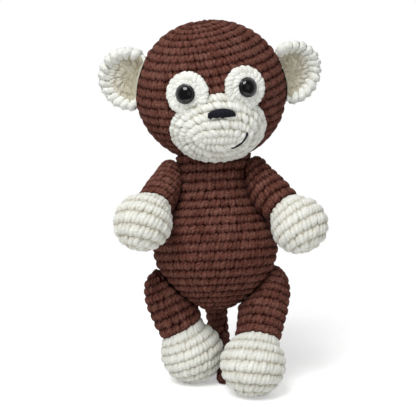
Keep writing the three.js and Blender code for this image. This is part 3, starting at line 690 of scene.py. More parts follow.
def torsoOutline():
    v = torsoShape
    outline = []
    for i in range(41):
        angle = math.pi / 2 * i / 40
        outline.append((v["radius"] * math.sin(angle) ** v["bellyPower"], v["bellyHeight"] * (1 - math.cos(angle))))
    for i in range(1, 41):
        share = i / 40
        fall = math.cos(math.pi / 2 * share) ** v["flankPower"]
        height = v["bellyHeight"] + (v["waistHeight"] - v["bellyHeight"]) * share
        outline.append((v["waistRadius"] + (v["radius"] - v["waistRadius"]) * fall, height))
    outline.append((v["rimRadius"], v["height"]))
    return outline


torsoSurface = turnedSurface(torsoOutline(), torsoTurn, torsoPlace, torsoShape["uneven"], openEnd=True)
torsoLength = surfaceLength(torsoSurface)
torsoRows = rowPlan(torsoSurface, brownYarn, 0, torsoLength - torsoShape["lastRow"])
torsoData = coverMesh(torsoSurface, brownYarn, torsoRows, 0, torsoLength - torsoShape["shellEnd"], closed=False)
makePiece("torsoCover", torsoData, brownWool, "torso", ["torso_cover"])
print("torso:", len(torsoRows), "rounds,", sum(r["count"] for r in torsoRows), "stitches")


# Head

def headSurfaceMade():
    # rings about a crown that leans back from the head's own axis
    span = np.linspace(0, math.pi, 241)
    ring = oneTurn(gridFine["around"])
    way = np.stack([
        np.sin(span)[:, None] * np.cos(ring), np.sin(span)[:, None] * np.sin(ring),
        np.broadcast_to(np.cos(span)[:, None], (len(span), len(ring))),
    ], -1) @ turnAbout("Y", -headShape["poleLean"]).T
    local = way / np.linalg.norm(way / headRadii, axis=-1, keepdims=True)
    walk = np.concatenate([[0], np.cumsum(np.linalg.norm(np.diff(local, axis=0), axis=-1).mean(1))])
    count = int(math.ceil(walk[-1] / gridFine["step"])) + 1
    marks = np.linspace(0, walk[-1], count)
    even = np.empty((count, len(ring), 3))
    for j in range(len(ring)):
        for c in range(3):
            even[:, j, c] = np.interp(marks, walk, local[:, j, c])
    return surfaceFrom(inHead(even), walk[-1] / (count - 1), headShape["uneven"], flip=True)


def headShows(points):
    # the closing hole at the neck stays open
    local = inTorsoFrame(points)
    return ~((np.hypot(local[:, 0], local[:, 1]) < headShape["neckHole"]) & (local[:, 2] < headLift))


headSurface = headSurfaceMade()
headLength = surfaceLength(headSurface)
headRows = rowPlan(headSurface, brownYarn, 0, headLength)
headData = coverMesh(headSurface, brownYarn, headRows, 0, headLength, keep=headShows)
makePiece("headCover", headData, brownWool, "head", ["head_cover"])
print("head:", len(headRows), "rounds,", sum(r["count"] for r in headRows), "stitches")


# Arms and legs: a ball at the end and a tube, one surface with two yarns

def torsoRadiusAt(height):
    v = torsoShape
    if height < v["bellyHeight"]:
        return v["radius"] * math.sin(math.acos(1 - height / v["bellyHeight"])) ** v["bellyPower"]
    share = (height - v["bellyHeight"]) / (v["waistHeight"] - v["bellyHeight"])
    fall = max(math.cos(math.pi / 2 * min(share, 1)), 0) ** v["flankPower"]
    return v["waistRadius"] + (v["radius"] - v["waistRadius"]) * fall


def torsoNormalAt(height):
    rise = torsoRadiusAt(height + 0.5) - torsoRadiusAt(height - 0.5)
    return unit(np.array([1.0, -rise]))


def aroundTorso(side, angle, radius, height):
    turn = math.radians(angle)
    return np.array([side * radius * math.sin(turn), -radius * math.cos(turn), height])


def clearOfTorso(points, gap, brim=0.0):
    # moves points outward from the torso's axis until they stand clear of it
    v = torsoShape
    local = inTorsoFrame(points)
    height = local[..., 2]
    flat = np.hypot(local[..., 0], local[..., 1])
    wanted = np.vectorize(lambda h: torsoRadiusAt(h) if h > 0 else 0.0)(height)
    flare = np.clip((height - v["waistHeight"]) / (v["height"] - v["waistHeight"]), 0, 1)
    wanted = wanted + (v["rimRadius"] - v["waistRadius"]) * flare + np.where(flare > 0, brim, 0)
    wanted = np.where(height > v["clearTo"], 0.0, wanted) + gap
    scale = np.where((flat < wanted) & (wanted > gap), wanted / np.maximum(flat, 1e-6), 1.0)
    return inTorso(local * np.stack([scale, scale, np.ones_like(scale)], -1))


def limbOutline(ball, wrist, top, length, full=0.0):
    # from the tip of the ball up to the round top, which is at height 0
    join = length - math.sqrt(ball ** 2 - wrist ** 2)
    outline = [(ball * math.sin(a), -length - ball * math.cos(a)) for a in np.linspace(0, math.pi / 2, 30)]
    joinAngle = math.asin((length - join) / ball)
    outline += [(ball * math.cos(a), -length + ball * math.sin(a)) for a in np.linspace(0, joinAngle, 20)[1:]]
    for k in np.linspace(0, 1, 14)[1:]:
        outline.append((wrist + (top - wrist) * k + full * math.sin(math.pi * k) ** 1.5, -join * (1 - k)))
    outline += [(top * math.cos(a), top * math.sin(a)) for a in np.linspace(0, math.pi / 2, 16)[1:]]
    return outline, ball * (math.pi / 2 + joinAngle)


colourChange = {"creamEnd": 0.6, "brownStart": 0.2}    # where each yarn's rounds end or start, above the wrist


def crochetLimb(names, nodes, body, surface, wristAlong):
    length = surfaceLength(surface)
    endRows = rowPlan(surface, creamYarn, 0, wristAlong + colourChange["creamEnd"])
    tubeStart = wristAlong + colourChange["brownStart"]
    tubeRows = rowPlan(surface, brownYarn, tubeStart, length, phase=endRows[-1]["phase"])
    endData = coverMesh(surface, creamYarn, endRows, 0, wristAlong, closed=False)
    tubeData = coverMesh(surface, brownYarn, tubeRows, tubeStart, length, closed=False)
    makePiece(names[0], endData, creamWool, body, [nodes[0]])
    makePiece(names[1], tubeData, brownWool, body, [nodes[1]])


armShape = {
    "shoulderRadius": 5.2, "shoulderGap": 0.8, "shoulderHeight": 76.0, "shoulderAngle": 76.0,
    "wristRadius": 9.2, "handRadius": 15.0, "handGap": 1.2, "uneven": 0.25, "torsoGap": -0.6,
    "left": {
        "side": 1, "angle": 61.0, "height": 46.8, "full": 1.6, "inward": 4.0, "fuller": 2.6, "cuff": 1.2,
        "pole": (0.26, -0.1, -0.93),
    },
    "right": {
        "side": -1, "angle": 48.0, "height": 50.4, "full": 0.9, "inward": 1.9, "fuller": 1.6, "cuff": 0.3,
        "pole": (-0.22, 0.0, -0.95),
    },
}


def armPlan(name):
    v, place = armShape, armShape[name]
    standOff = torsoShape["waistRadius"] + v["shoulderGap"] + v["shoulderRadius"]
    shoulder = aroundTorso(place["side"], v["shoulderAngle"], standOff, v["shoulderHeight"])
    belly = torsoRadiusAt(place["height"] - v["handRadius"] / 2)
    hand = aroundTorso(place["side"], place["angle"], belly + v["handRadius"] + v["handGap"], place["height"])
    return shoulder, hand


def tipBall(points, centre, rows, start, wanted):
    # turns the rounds of a ball so that their pole looks another way, less and less towards the wrist
    axis = np.cross(start, wanted)
    angle = math.atan2(np.linalg.norm(axis), start @ wanted)
    points = points.copy()
    for k in range(rows):
        turn = np.array(Matrix.Rotation(angle * (1 - k / rows), 3, unit(axis)))
        points[k] = (points[k] - centre) @ turn.T + centre
    return points


def armForm(points, centre, rows, start, own, inward):
    # the sleeve sags in against the torso between the wrist and the shoulder
    points = tipBall(points, centre, rows, start, unit(np.array(own["pole"])))
    share = np.clip((np.arange(len(points)) - rows) / (len(points) - rows), 0, 1)
    points = points + np.sin(math.pi * share ** 0.65)[:, None, None] * inward
    return clearOfTorso(points, armShape["torsoGap"])


for armName in ("left", "right"):
    own = armShape[armName]
    shoulder, hand = armPlan(armName)
    outline, wristAlong = limbOutline(
        armShape["handRadius"], armShape["wristRadius"] + own["cuff"], armShape["shoulderRadius"] + own["fuller"],
        float(np.linalg.norm(hand - shoulder)), own["full"])
    armTurn = torsoTurn @ turnZTo(shoulder - hand)
    inward = torsoTurn @ unit((shoulder + hand) * (-1, -1, 0)) * own["inward"]
    ballRows = int(wristAlong / gridFine["step"])
    armSurface = turnedSurface(
        outline, armTurn, inTorso(shoulder), armShape["uneven"],
        shape=lambda points: armForm(points, inTorso(hand), ballRows, -armTurn[:, 2], own, inward))
    crochetLimb(
        [f"{armName}Hand", f"{armName}Sleeve"], [f"hand_cover_{armName}", f"arm_cover_{armName}"],
        f"arm_{armName}", armSurface, wristAlong)
print("arms made")

legShape = {
    "radius": 11.8, "footRadius": 17.0, "hipHeight": 15.0, "hipInset": 3.2, "socketRadius": 34.0,
    "socketLift": 1.45, "soft": 0.4, "softRows": 48, "softTimes": 170, "closer": 1.2, "flat": 0.5, "uneven": 0.3,
    "topFuller": 2.7,
    "left": {"side": 1, "x": 20.7, "y": -22.0, "pole": (-0.05, 0.12, -0.99)},
    "right": {"side": -1, "x": -11.0, "y": -0.6, "pole": (0.2, 0.05, -0.98)},
}


def hipPlan(name):
    v, side = legShape, legShape[name]["side"]
    normal = torsoNormalAt(v["hipHeight"])
    outward = np.array([side * normal[0], 0, normal[1]])
    contact = np.array([side * torsoRadiusAt(v["hipHeight"]), 0, v["hipHeight"]])
    return outward, contact, contact + outward * v["hipInset"]


def pushedOut(points, centre, radius):
    # keeps points out of a ball
    away = points - centre
    reach = np.linalg.norm(away, axis=-1, keepdims=True)
    soft = legShape["soft"]
    pushed = radius + soft * np.logaddexp(0, (reach - radius) / soft)
    return centre + away / reach * pushed


def softened(points, reach, times):
    # evens out the last part of a surface, up to its end pole
    weight = np.clip((np.arange(len(points)) - (len(points) - reach)) / (reach * 0.4), 0, 1)[:, None, None]
    for _ in range(times):
        points = points.copy()
        points[-1] = points[-2].mean(0)
        near = (np.roll(points, 1, 1) + np.roll(points, -1, 1)) / 2
        near[1:-1] = near[1:-1] / 2 + (points[:-2] + points[2:]) / 4
        points = points + weight * (near - points)
    return points


def legForm(points, socket, foot, rows, start, own):
    v = legShape
    clear = v["socketRadius"] - v["closer"]
    points = pushedOut(tipBall(points, foot, rows, start, unit(np.array(own["pole"]))), socket, clear)
    return pushedOut(softened(points, v["softRows"], v["softTimes"]), socket, clear)


for legName in ("left", "right"):
    own = legShape[legName]
    outward, contact, hip = hipPlan(legName)
    hip = inTorso(hip)
    foot = standPlace + np.array([own["x"], own["y"], legShape["footRadius"] - legShape["flat"]])
    outline, ankleAlong = limbOutline(
        legShape["footRadius"], legShape["radius"], legShape["radius"] + legShape["topFuller"],
        float(np.linalg.norm(foot - hip)))
    socket = inTorso(contact + outward * (legShape["socketLift"] - legShape["socketRadius"]))
    legTurn = turnZTo(hip - foot)
    ballRows = int(ankleAlong / gridFine["step"])
    legSurface = turnedSurface(
        outline, legTurn, hip, legShape["uneven"],
        shape=lambda points: legForm(points, socket, foot, ballRows, -legTurn[:, 2], own))
    crochetLimb(
        [f"{legName}Foot", f"{legName}Leg"], [f"foot_cover_{legName}", f"leg_cover_{legName}"],
        f"leg_{legName}", legSurface, ankleAlong)
print("legs made")


# Face

def facing(turn, rise):
    flat = math.cos(math.radians(rise))
    turn, rise = math.radians(turn), math.radians(rise)
    return np.array([flat * math.sin(turn), -flat * math.cos(turn), math.sin(rise)])


muzzleShape = {
    "radii": (26.0, 22.0, 21.5), "brow": 1.12, "reach": 25.3, "drop": 24.6, "slope": 12.0, "uneven": 0.25,
    "chain": 8.5, "chainRise": -1.0, "chainBeads": 10, "beadRadius": 1.5, "beadLength": 5.6, "beadLean": 1.4,
    "torsoGap": 1.0, "brim": 2.0, "eyeGap": 0.9, "rows": 46, "columns": 360, "firstRow": 2.3, "slant": 0.75,
    "handmade": 1.9, "sewnIn": 0.3,
}
eyeShape = {
    "spread": 22.4, "rise": 11.8, "tilt": 1.4, "radius": 5.0, "height": 3.8, "flange": 1.0, "shankRadius": 1.9,
    "shankLength": 12.0, "ridge": 0.35, "seat": 0.35, "facets": 64, "patchRadius": 11.0, "patchWall": 2.4,
    "patchUneven": 0.12, "underMuzzle": -0.6, "clearDepth": 14.0,
}
patchYarn = {
    **creamYarn, "width": 4.2, "thick": 0.36, "sink": 0.8, "dive": 0.8, "crown": 0.3, "groove": 1.0, "slant": 0.8,
}
patchRows = (
    {"at": 3.4, "height": 3.9, "count": 9, "spiral": 0.0, "wide": 3.9},
    {"at": 6.7, "height": 4.6, "count": 17, "spiral": 0.0, "wide": 3.9},
)
muzzleTurn = headTurn @ turnAbout("X", muzzleShape["slope"])
muzzlePlace = inHead(facing(stance["headTurn"] / 2, -muzzleShape["drop"]) * muzzleShape["reach"])


def eyeSeat(side):
    way = facing(side * eyeShape["spread"], eyeShape["rise"] + side * eyeShape["tilt"])
    reach = 1 / np.linalg.norm(way / headRadii)
    return inHead(way * reach), headTurn @ way, headTurn @ turnZTo(way)


def insideHead(points, grow):
    return np.linalg.norm(inHeadFrame(points) / (headRadii + grow), axis=-1) < 1


def insideMuzzle(points, grow):
    local = (points - muzzlePlace) @ muzzleTurn
    local[..., 2] /= np.where(local[..., 2] > 0, muzzleShape["brow"], 1.0)
    return np.linalg.norm(local / (np.array(muzzleShape["radii"]) + grow), axis=-1) < 1


def clearOfEyes(points, gap):
    for side in (1, -1):
        seat, way, turn = eyeSeat(side)
        away = points - seat
        along = away @ way
        flat = away - along[..., None] * way
        reach = np.linalg.norm(flat, axis=-1, keepdims=True)
        wanted = eyeShape["radius"] + gap
        near = (reach < wanted) & (np.abs(along) < eyeShape["clearDepth"])[..., None]
        points = np.where(near, seat + along[..., None] * way + flat / np.maximum(reach, 1e-6) * wanted, points)
    return points


def muzzleSurface():
    # rounds about a short chain across the snout, out to where the muzzle meets the head
    v = muzzleShape
    a, b, c = v["radii"]
    tilt = np.radians(np.linspace(0, 150, 301))[:, None]
    columns, count = v["columns"], v["rows"]
    turn = oneTurn(columns)[None]
    swell = np.sin(tilt)
    front = tilt < math.pi / 2
    half = np.where(front, v["chain"] * (1 - swell) + a * swell, a * swell)
    x = half * np.cos(turn)
    high = np.where(np.sin(turn) > 0, c * v["brow"], c)
    z = high * swell * np.sin(turn) + np.where(front, v["chainRise"] * (1 - swell), 0)
    depth = np.sqrt(np.clip(1 - (x / a) ** 2 - (z / high) ** 2, 0, 1))
    y = np.where(front, -b * depth, -b * np.cos(tilt) * np.ones_like(turn))
    points = np.stack([x, y, z], -1) @ muzzleTurn.T + muzzlePlace
    hidden = insideHead(points, v["sewnIn"])
    hidden[:60] = False
    last = np.where(hidden.any(0), hidden.argmax(0), len(tilt) - 1)
    walk = np.cumsum(np.linalg.norm(np.diff(points, axis=0), axis=-1), 0)
    walk = np.concatenate([np.zeros((1, columns)), walk])
    grid = np.empty((count, columns, 3))
    for j in range(columns):
        marks = np.linspace(0, walk[last[j], j], count)
        for k in range(3):
            grid[:, j, k] = np.interp(marks, walk[:last[j] + 1, j], points[:last[j] + 1, j, k])
    # where it would enter the torso it turns up to the head instead
    blocked = np.linalg.norm(clearOfTorso(grid, v["torsoGap"], v["brim"]) - grid, axis=-1) > 0.05
    local = inTorsoFrame(grid)
    for j in np.flatnonzero(blocked.any(0)):
        first = blocked[:, j].argmax()
        local[first:, j, 2] = np.maximum(local[first:, j, 2], local[first, j, 2])
    grid = clearOfTorso(inTorso(local), v["torsoGap"], v["brim"])
    grid = evenRound(clearOfEyes(grid, v["eyeGap"]), gridFine["around"])
    inside = np.linalg.norm(clearOfTorso(grid, v["torsoGap"] + 0.15, v["brim"]) - grid, axis=-1) > 0.02
    mean = walk[last, np.arange(columns)].mean()
    surface = surfaceFrom(grid, mean / (count - 1), v["uneven"], flip=True, openEnd=True)
    surface["free"] = ~np.maximum.accumulate(inside, 0)
    surface["middle"] = muzzlePlace
    for j in np.flatnonzero(inside.any(0)):
        edge = max(surface["free"][:, j].argmin() - 1, 1)
        surface["normals"][edge:, j] = surface["normals"][edge - 1, j]
    return surface, mean


def onMuzzle(x, z, lift):
    # points and normals of the muzzle's front at its own (x, z)
    a, b, c = np.array(muzzleShape["radii"])
    c = np.where(z > 0, c * muzzleShape["brow"], c)
    y = -b * np.sqrt(np.clip(1 - (x / a) ** 2 - (z / c) ** 2, 0.001, 1))
    normal = unit(np.stack([x / a ** 2, y / b ** 2, z / c ** 2], -1))
    local = np.stack([x, y, z], -1) + normal * np.asarray(lift)[..., None]
    return local @ muzzleTurn.T + muzzlePlace, normal @ muzzleTurn.T


def chainStitches():
    # the first chain of the snout: slanted beads side by side
    v = muzzleShape
    count = v["chainBeads"]
    t = np.linspace(-0.5, 0.5, strandShape["rings"])[None]
    middle = np.linspace(-v["chain"] - 1.2, v["chain"] + 1.2, count)[:, None] + rng.normal(0, 0.15, (count, 1))
    z = v["chainRise"] + t * v["beadLength"] + np.zeros((count, 1))
    lift = -1.0 - 1.5 * (1 - np.cos(math.pi * t) ** 0.7) + rng.normal(0, 0.1, (count, 1))
    centre, outward = onMuzzle(middle + t * v["beadLean"], z, lift)
    radius = v["beadRadius"] * (0.8 + 0.22 * np.cos(math.pi * t)) + np.zeros((count, 1))
    return strandMesh(centre, outward, radius, lift, rng.uniform(0, 1, count), flat=0.8)


faceSurface, faceLength = muzzleSurface()
faceRows = rowPlan(faceSurface, creamYarn, muzzleShape["firstRow"], faceLength, firstCount=8, spiral=0.0)
faceData = coverMesh(
    faceSurface, {**creamYarn, "slant": muzzleShape["slant"]}, faceRows, 0, faceLength, more=[chainStitches],
    jitter=muzzleShape["handmade"], closed=False, fine=True)
makePiece("muzzleCover", faceData, creamWool, "head", ["muzzle_cover"])
print("muzzle:", len(faceRows), "rounds", round(faceLength, 1))


def onHeadAbove(seat, way, across, up, x, y):
    # the head's surface seen along an eye's axis
    base = seat + x[..., None] * across + y[..., None] * up
    local = inHeadFrame(base) / headRadii
    ray = way @ headTurn / headRadii
    a = ray @ ray
    b = local @ ray
    c = (local ** 2).sum(-1) - 1
    t = (-b + np.sqrt(np.maximum(b ** 2 - a * c, 0))) / a
    return base + t[..., None] * way


def patchSurface(side):
    v = eyeShape
    seat, way, turn = eyeSeat(side)
    top, edge = v["seat"] + v["patchWall"], v["patchRadius"]
    outline = [(0.0, top), (edge - 4.2, top + 0.1), (edge - 2.6, top + 0.1)]
    outline += [
        (edge - 1.7 + 1.7 * math.sin(a), top - 1.5 + 1.6 * math.cos(a)) for a in np.linspace(0.2, math.pi / 2, 8)]
    outline += [(edge, 0.9), (edge - 0.5, 0.4)]
    even, step = evenOutline(outline, 0.4)
    flat = spun(even, gridFine["around"])
    base = onHeadAbove(seat, way, turn[:, 0], turn[:, 1], flat[..., 0], flat[..., 1])
    normal = unit((inHeadFrame(base) / headRadii ** 2) @ headTurn.T)
    return surfaceFrom(base + normal * even[:, 1:, None], step, v["patchUneven"], flip=True, openEnd=True)


for sideName, side in (("left", 1), ("right", -1)):
    ground = patchSurface(side)
    rows = [{**row, "phase": rng.uniform()} for row in patchRows]
    data = coverMesh(
        ground, patchYarn, rows, 0, surfaceLength(ground), jitter=muzzleShape["handmade"], closed=False, wall=0.5,
        fine=True, keep=lambda points: ~insideMuzzle(points, eyeShape["underMuzzle"]))
    makePiece(f"{sideName}EyePatch", data, creamWool, "head", [f"eye_patch_{sideName}"])
print("eye patches made")


def eyeOutline():
    # a ridged shank, a thin flange and a dome, from the shank's end up
    v = eyeShape
    seat = v["seat"] * 2 + v["patchWall"]
    low, thin = seat - v["shankLength"], v["shankRadius"] - v["ridge"]
    pitch = (v["shankLength"] - 2.8 - v["patchWall"]) / 3
    outline = [(0.0, low)]
    for i in range(3):
        outline += [(thin, low + pitch * i), (v["shankRadius"], low + pitch * (i + 0.5))]
    rim, edge, inner = seat + v["flange"], v["radius"], v["radius"] - 0.42
    dome = v["height"] - v["flange"] + 0.1
    outline += [(thin, seat), (edge - 0.25, seat), (edge, seat + 0.2), (edge, rim - 0.25), (edge - 0.12, rim - 0.05)]
    outline.append((inner, rim - 0.1))
    for a in np.linspace(0.04, math.pi / 2, 26):
        outline.append((inner * math.cos(a), rim - 0.1 + dome * math.sin(a)))
    return np.array(outline)


for sideName, side in (("left", 1), ("right", -1)):
    seat, way, turn = eyeSeat(side)
    data = gridMesh(spun(eyeOutline(), eyeShape["facets"]) @ turn.T + seat, 1.0)
    makePiece(f"{sideName}Eye", data, eyePlastic, "head", [f"safety_eye_{sideName}"])
    washer = frame["nodes"][f"eye_washer_{sideName}"]
    washer.data.materials.clear()
    washer.data.materials.append(washerPlastic)
print("eyes made")

noseShape = {
    "width": 13.6, "height": 2.8, "rise": 11.6, "shift": 1.0, "threads": 15, "radius": 0.62, "lift": 0.75,
}
mouthShape = {
    "start": (5.4, -5.4), "bend": (11.8, -4.4), "end": (14.0, 1.5), "radius": 0.55, "lift": 0.25, "steps": 22,
}


def noseStitches():
    v = noseShape
    half = v["width"] / 2
    t = np.linspace(0, 1, strandShape["rings"])
    x = np.linspace(-half + 0.5, half - 0.5, v["threads"])
    top = v["height"] * np.sqrt(1 - (x / half) ** 2) + 0.25
    x = x + rng.normal(0, 0.06, len(x))
    low = rng.normal(0, 0.12, len(x)) - 0.3
    z = v["rise"] + low[:, None] + (top - low)[:, None] * t
    wide = np.repeat(x[:, None], len(t), 1) * (1 - 0.04 * t)
    arch = np.sin(math.pi * t) ** 0.55
    crown = 1 + 0.25 * np.sqrt(1 - (x / half) ** 2)    # the patch bulges in its middle
    lift = v["lift"] * (0.1 + 0.9 * arch)[None] * crown[:, None]
    centre, normal = onMuzzle(wide + v["shift"], z, lift)
    tone = rng.uniform(0, 1, len(x))
    return strandMesh(centre, normal, np.full(z.shape, v["radius"]), lift - 0.4, tone, deep=1.2)


def mouthStitch():
    v = mouthShape
    t = np.linspace(0, 1, v["steps"])[:, None]
    a, b, c = (np.array(v[k]) for k in ("start", "bend", "end"))
    line = a * (1 - t) ** 2 + b * 2 * t * (1 - t) + c * t ** 2
    clear = np.clip(np.sin(math.pi * t[:, 0]) * 5, 0, 1)    # its two ends go into the muzzle
    lift = v["lift"] * clear ** 0.7 - 0.5 * (1 - clear)
    centre, normal = onMuzzle(line[:, 0], line[:, 1], lift)
    return strandMesh(
        centre[None], normal[None], np.full((1, len(t)), v["radius"]), (lift - 0.4)[None], np.array([0.5]), deep=1.2)


makePiece("noseStitches", joinStrands([noseStitches()]), darkThread, "head", ["nose_stitches"])
makePiece("mouthStitch", joinStrands([mouthStitch()]), darkThread, "head", ["mouth_stitch"])
print("nose and mouth sewn")


# Ears: a cup worked from its back, with fat loops over the rim and a dish inside

earShape = {
    "radius": 16.6, "wall": 7.0, "dish": 3.6, "out": 43.4, "rise": 8.7, "back": 1.7, "turn": 18.0, "uneven": 0.3,
    "rimLoops": 21, "rimThick": 2.7, "rimSink": 1.7, "rimDive": 0.9, "backEnd": 3.2, "dishStart": 7.2,
    "rimOver": (1.4, 1.0), "dishOver": 0.6, "dishShade": 0.9, "hide": 0.4, "clear": {"left": -0.1, "right": 0.02},
}
dishYarn = {**creamYarn, "width": 3.8, "height": 4.0, "sink": 1.0, "dive": 0.6, "thick": 0.37}


def rounded(outline, times=3):
    points = np.array(outline, float)
    for _ in range(times):
        cut = np.empty((2 * (len(points) - 1), 2))
        cut[0::2] = points[:-1] * 0.75 + points[1:] * 0.25
        cut[1::2] = points[:-1] * 0.25 + points[1:] * 0.75
        points = np.concatenate([points[:1], cut, points[-1:]])
    return points


def earOutline():
    v = earShape
    back, front, r = -v["wall"] / 2, v["wall"] / 2, v["radius"]
    dish = front - v["dish"]
    return rounded([
        (0, back + 0.4), (r * 0.5, back + 0.6), (r * 0.8, back + 1.4), (r * 0.96, back + 3.2), (r * 1.01, back + 5),
        (r * 0.95, front - 0.2), (r * 0.84, front + 0.2), (r * 0.7, front - v["dish"] * 0.45), (r * 0.4, dish + 0.5),
        (0, dish),
    ])


def outOfHead(points, clear):
    local = inHeadFrame(points)
    reach = np.linalg.norm(local / (headRadii + clear), axis=-1, keepdims=True)
    return inHead(np.where(reach < 1, local / reach, local))


def rimStitches(surface, start, end, shows):
    # one fat loop beside the next, from the back over the edge into the dish
    v, count = earShape, earShape["rimLoops"]
    t = np.linspace(0, 1, strandShape["rings"] + 2)[None]
    turns = np.arange(count)[:, None] / count + (t - 0.5) * 0.9 / count + rng.normal(0, 0.05 / count, (count, 1))
    along = start + (end - start) * t + rng.normal(0, 0.2, (count, 1))
    spot, outward = onSurface(surface, turns, along)
    crest = np.sin(math.pi * t) ** 0.6
    thick = v["rimThick"] * (0.72 + 0.3 * crest) * (1 + rng.normal(0, 0.03, (count, 1)))
    lift = -v["rimSink"] - v["rimDive"] * (1 - crest) + np.zeros((count, 1))
    centre = spot + outward * lift[..., None]
    chosen = shows(centre[:, 3])
    tone = rng.uniform(0, 1, chosen.sum())
    return strandMesh(centre[chosen], outward[chosen], thick[chosen], lift[chosen] + 0.8, tone, deep=4.5)


def makeEar(name, side):
    v = earShape
    place = inHead([side * v["out"], v["back"], v["rise"]])
    turn = headTurn @ turnZTo(facing(side * v["turn"], 0))
    surface = turnedSurface(earOutline(), turn, place, v["uneven"])
    length = surfaceLength(surface)
    rim = int(surface["rings"].argmax()) * surface["step"]
    backEnd, dishStart = rim - v["backEnd"], rim + v["dishStart"]

    def shows(points):
        return ~insideHead(points, v["hide"])

    def paintedDishShade(points):
        # painted shade in the cup, strongest beside the head
        across = side * ((points - place) @ headTurn[:, 0]) / v["radius"]
        return v["dishShade"] * np.clip(1 - 1.1 * across, 0.1, 1.3)
    backLoops = crochet(surface, creamYarn, rowPlan(surface, creamYarn, 0, backEnd), shows)
    inside = {**surface, **{key: surface[key][::-1] for key in ("points", "normals", "rings")}}
    dishLoops = crochet(inside, dishYarn, rowPlan(inside, dishYarn, 0, length - dishStart + v["dishOver"]), shows)
    # painted shade on the dish's stitches
    dishLoops["depth"] = np.clip(dishLoops["depth"] + paintedDishShade(dishLoops["points"]), 0, 1)
    rimLoops = rimStitches(surface, backEnd - v["rimOver"][0], dishStart + v["rimOver"][1], shows)
    ground = ropeShell(surface, {**creamYarn, "crown": 0.9, "groove": 0.9}, [], 0, length)
    free, rows = ground["points"], len(surface["points"])
    inDish = np.repeat(np.arange(rows) * surface["step"] > dishStart - 1, len(free) // rows)
    ground["points"] = outOfHead(free, v["clear"][name])
    moved = np.linalg.norm(free - ground["points"], axis=1) > 0.01
    # painted shade where the shell is pushed against the head, and painted shade in the dish
    ground["depth"] = np.where(moved, 0.9, inDish * paintedDishShade(free))
    data = joinMeshes([joinStrands([backLoops, dishLoops, rimLoops]), ground])
    makePiece(f"{name}Ear", data, creamWool, f"ear_{name}_body", [f"ear_{name}"])


makeEar("left", 1)
makeEar("right", -1)
print("ears made")


# Tail

tailShape = {
    "rootRadius": 6.0, "tipRadius": 4.5, "height": 18.0, "bow": 8.0, "bend": 15.0, "tipY": -5.0, "tipX": -1.6,
    "laneGap": 1.2, "seatGap": 0.35, "uneven": 0.15, "fuller": 0.8,
}


def tailStops():
    # it bows out behind, bends forward near the floor and runs between the feet
    v = tailShape
    rise = torsoNormalAt(v["height"])
    outward = np.array([0, rise[0], rise[1]])
    seat = np.array([0, torsoRadiusAt(v["height"]), v["height"]])
    root = inTorso(seat + outward * (v["seatGap"] + v["rootRadius"])) - standPlace
    low = v["tipRadius"] - legShape["flat"]
    apart = legShape["footRadius"] - legShape["flat"] - low
    reach = legShape["footRadius"] + v["tipRadius"] + v["laneGap"]
    lane = legShape["right"]["x"] + math.sqrt(reach ** 2 - apart ** 2)
    behind = root[1] + v["bow"]
    ahead = behind - v["bend"]
    stops = np.array([
        root, (root[0], behind - v["bow"] * 0.15, root[2] * 0.74), (root[0] * 0.8 + lane * 0.2, behind, root[2] * 0.44),
        ((root[0] + lane) / 2, behind - v["bend"] * 0.37, low + v["bend"] * 0.3), (lane, ahead, low),
        (lane, (ahead + v["tipY"]) / 2, low), (lane + v["tipX"], v["tipY"], low),
    ])
    return stops + standPlace, seat, outward


def smoothRoute(stops, each=24):
    # a centripetal curve through every stop
    ends = np.concatenate([[2 * stops[0] - stops[1]], stops, [2 * stops[-1] - stops[-2]]])
    out = []
    for i in range(len(stops) - 1):
        p0, p1, p2, p3 = ends[i:i + 4]
        d0, d1, d2 = (math.sqrt(np.linalg.norm(b - a)) for a, b in ((p0, p1), (p1, p2), (p2, p3)))
        t1 = ((p1 - p0) / d0 - (p2 - p0) / (d0 + d1) + (p2 - p1) / d1) * d1
        t2 = ((p2 - p1) / d1 - (p3 - p1) / (d1 + d2) + (p3 - p2) / d2) * d1
        t = np.linspace(0, 1, each, endpoint=False)[:, None]
        near, leave = 2 * t ** 3 - 3 * t ** 2 + 1, t ** 3 - 2 * t ** 2 + t
        far, arrive = -2 * t ** 3 + 3 * t ** 2, t ** 3 - t ** 2
        out.append(near * p1 + leave * t1 + far * p2 + arrive * t2)
    return np.concatenate(out + [stops[-1:]])


def tubeSurface(route, rootRadius, tipRadius, uneven):
    # from the tip to the root, with round ends
    even, step = evenOutline(route[::-1], gridFine["step"])
    tangent = unit(np.gradient(even, axis=0))
    across = unit(np.cross(tangent[0], [0, 0, 1.0]))
    frames = []
    for way in tangent:
        across = unit(across - way * (across @ way))
        frames.append(across)
    across = np.array(frames)
    up = np.cross(tangent, across)
    angle = oneTurn(gridFine["around"])[:, None]

    def ring(i, size, shift=0.0):
        return even[i] + tangent[i] * shift + size * (np.cos(angle) * across[i] + np.sin(angle) * up[i])
    quarter = math.pi / 2
    tipSteps, rootSteps = (max(4, int(radius * quarter / step)) for radius in (tipRadius, rootRadius))
    rings = [
        ring(0, tipRadius * math.sin(a), -tipRadius * math.cos(a))
        for a in np.linspace(0, quarter, tipSteps, endpoint=False)]
    rings += [ring(i, size) for i, size in enumerate(np.linspace(tipRadius, rootRadius, len(even)))]
    rings += [
        ring(-1, rootRadius * math.cos(a), rootRadius * math.sin(a)) for a in np.linspace(0, quarter, rootSteps)[1:]]
    return surfaceFrom(np.array(rings), step, uneven)


stops, tailSeat, tailOut = tailStops()
tailSurface = tubeSurface(
    smoothRoute(stops), tailShape["rootRadius"] + tailShape["fuller"], tailShape["tipRadius"], tailShape["uneven"])
tailLength = surfaceLength(tailSurface)
tailRows = rowPlan(tailSurface, brownYarn, 0, tailLength)
tailData = coverMesh(tailSurface, brownYarn, tailRows, 0, tailLength)
makePiece("tailCover", tailData, brownWool, "tail_body", ["tail"])
print("tail made", round(tailLength, 1))


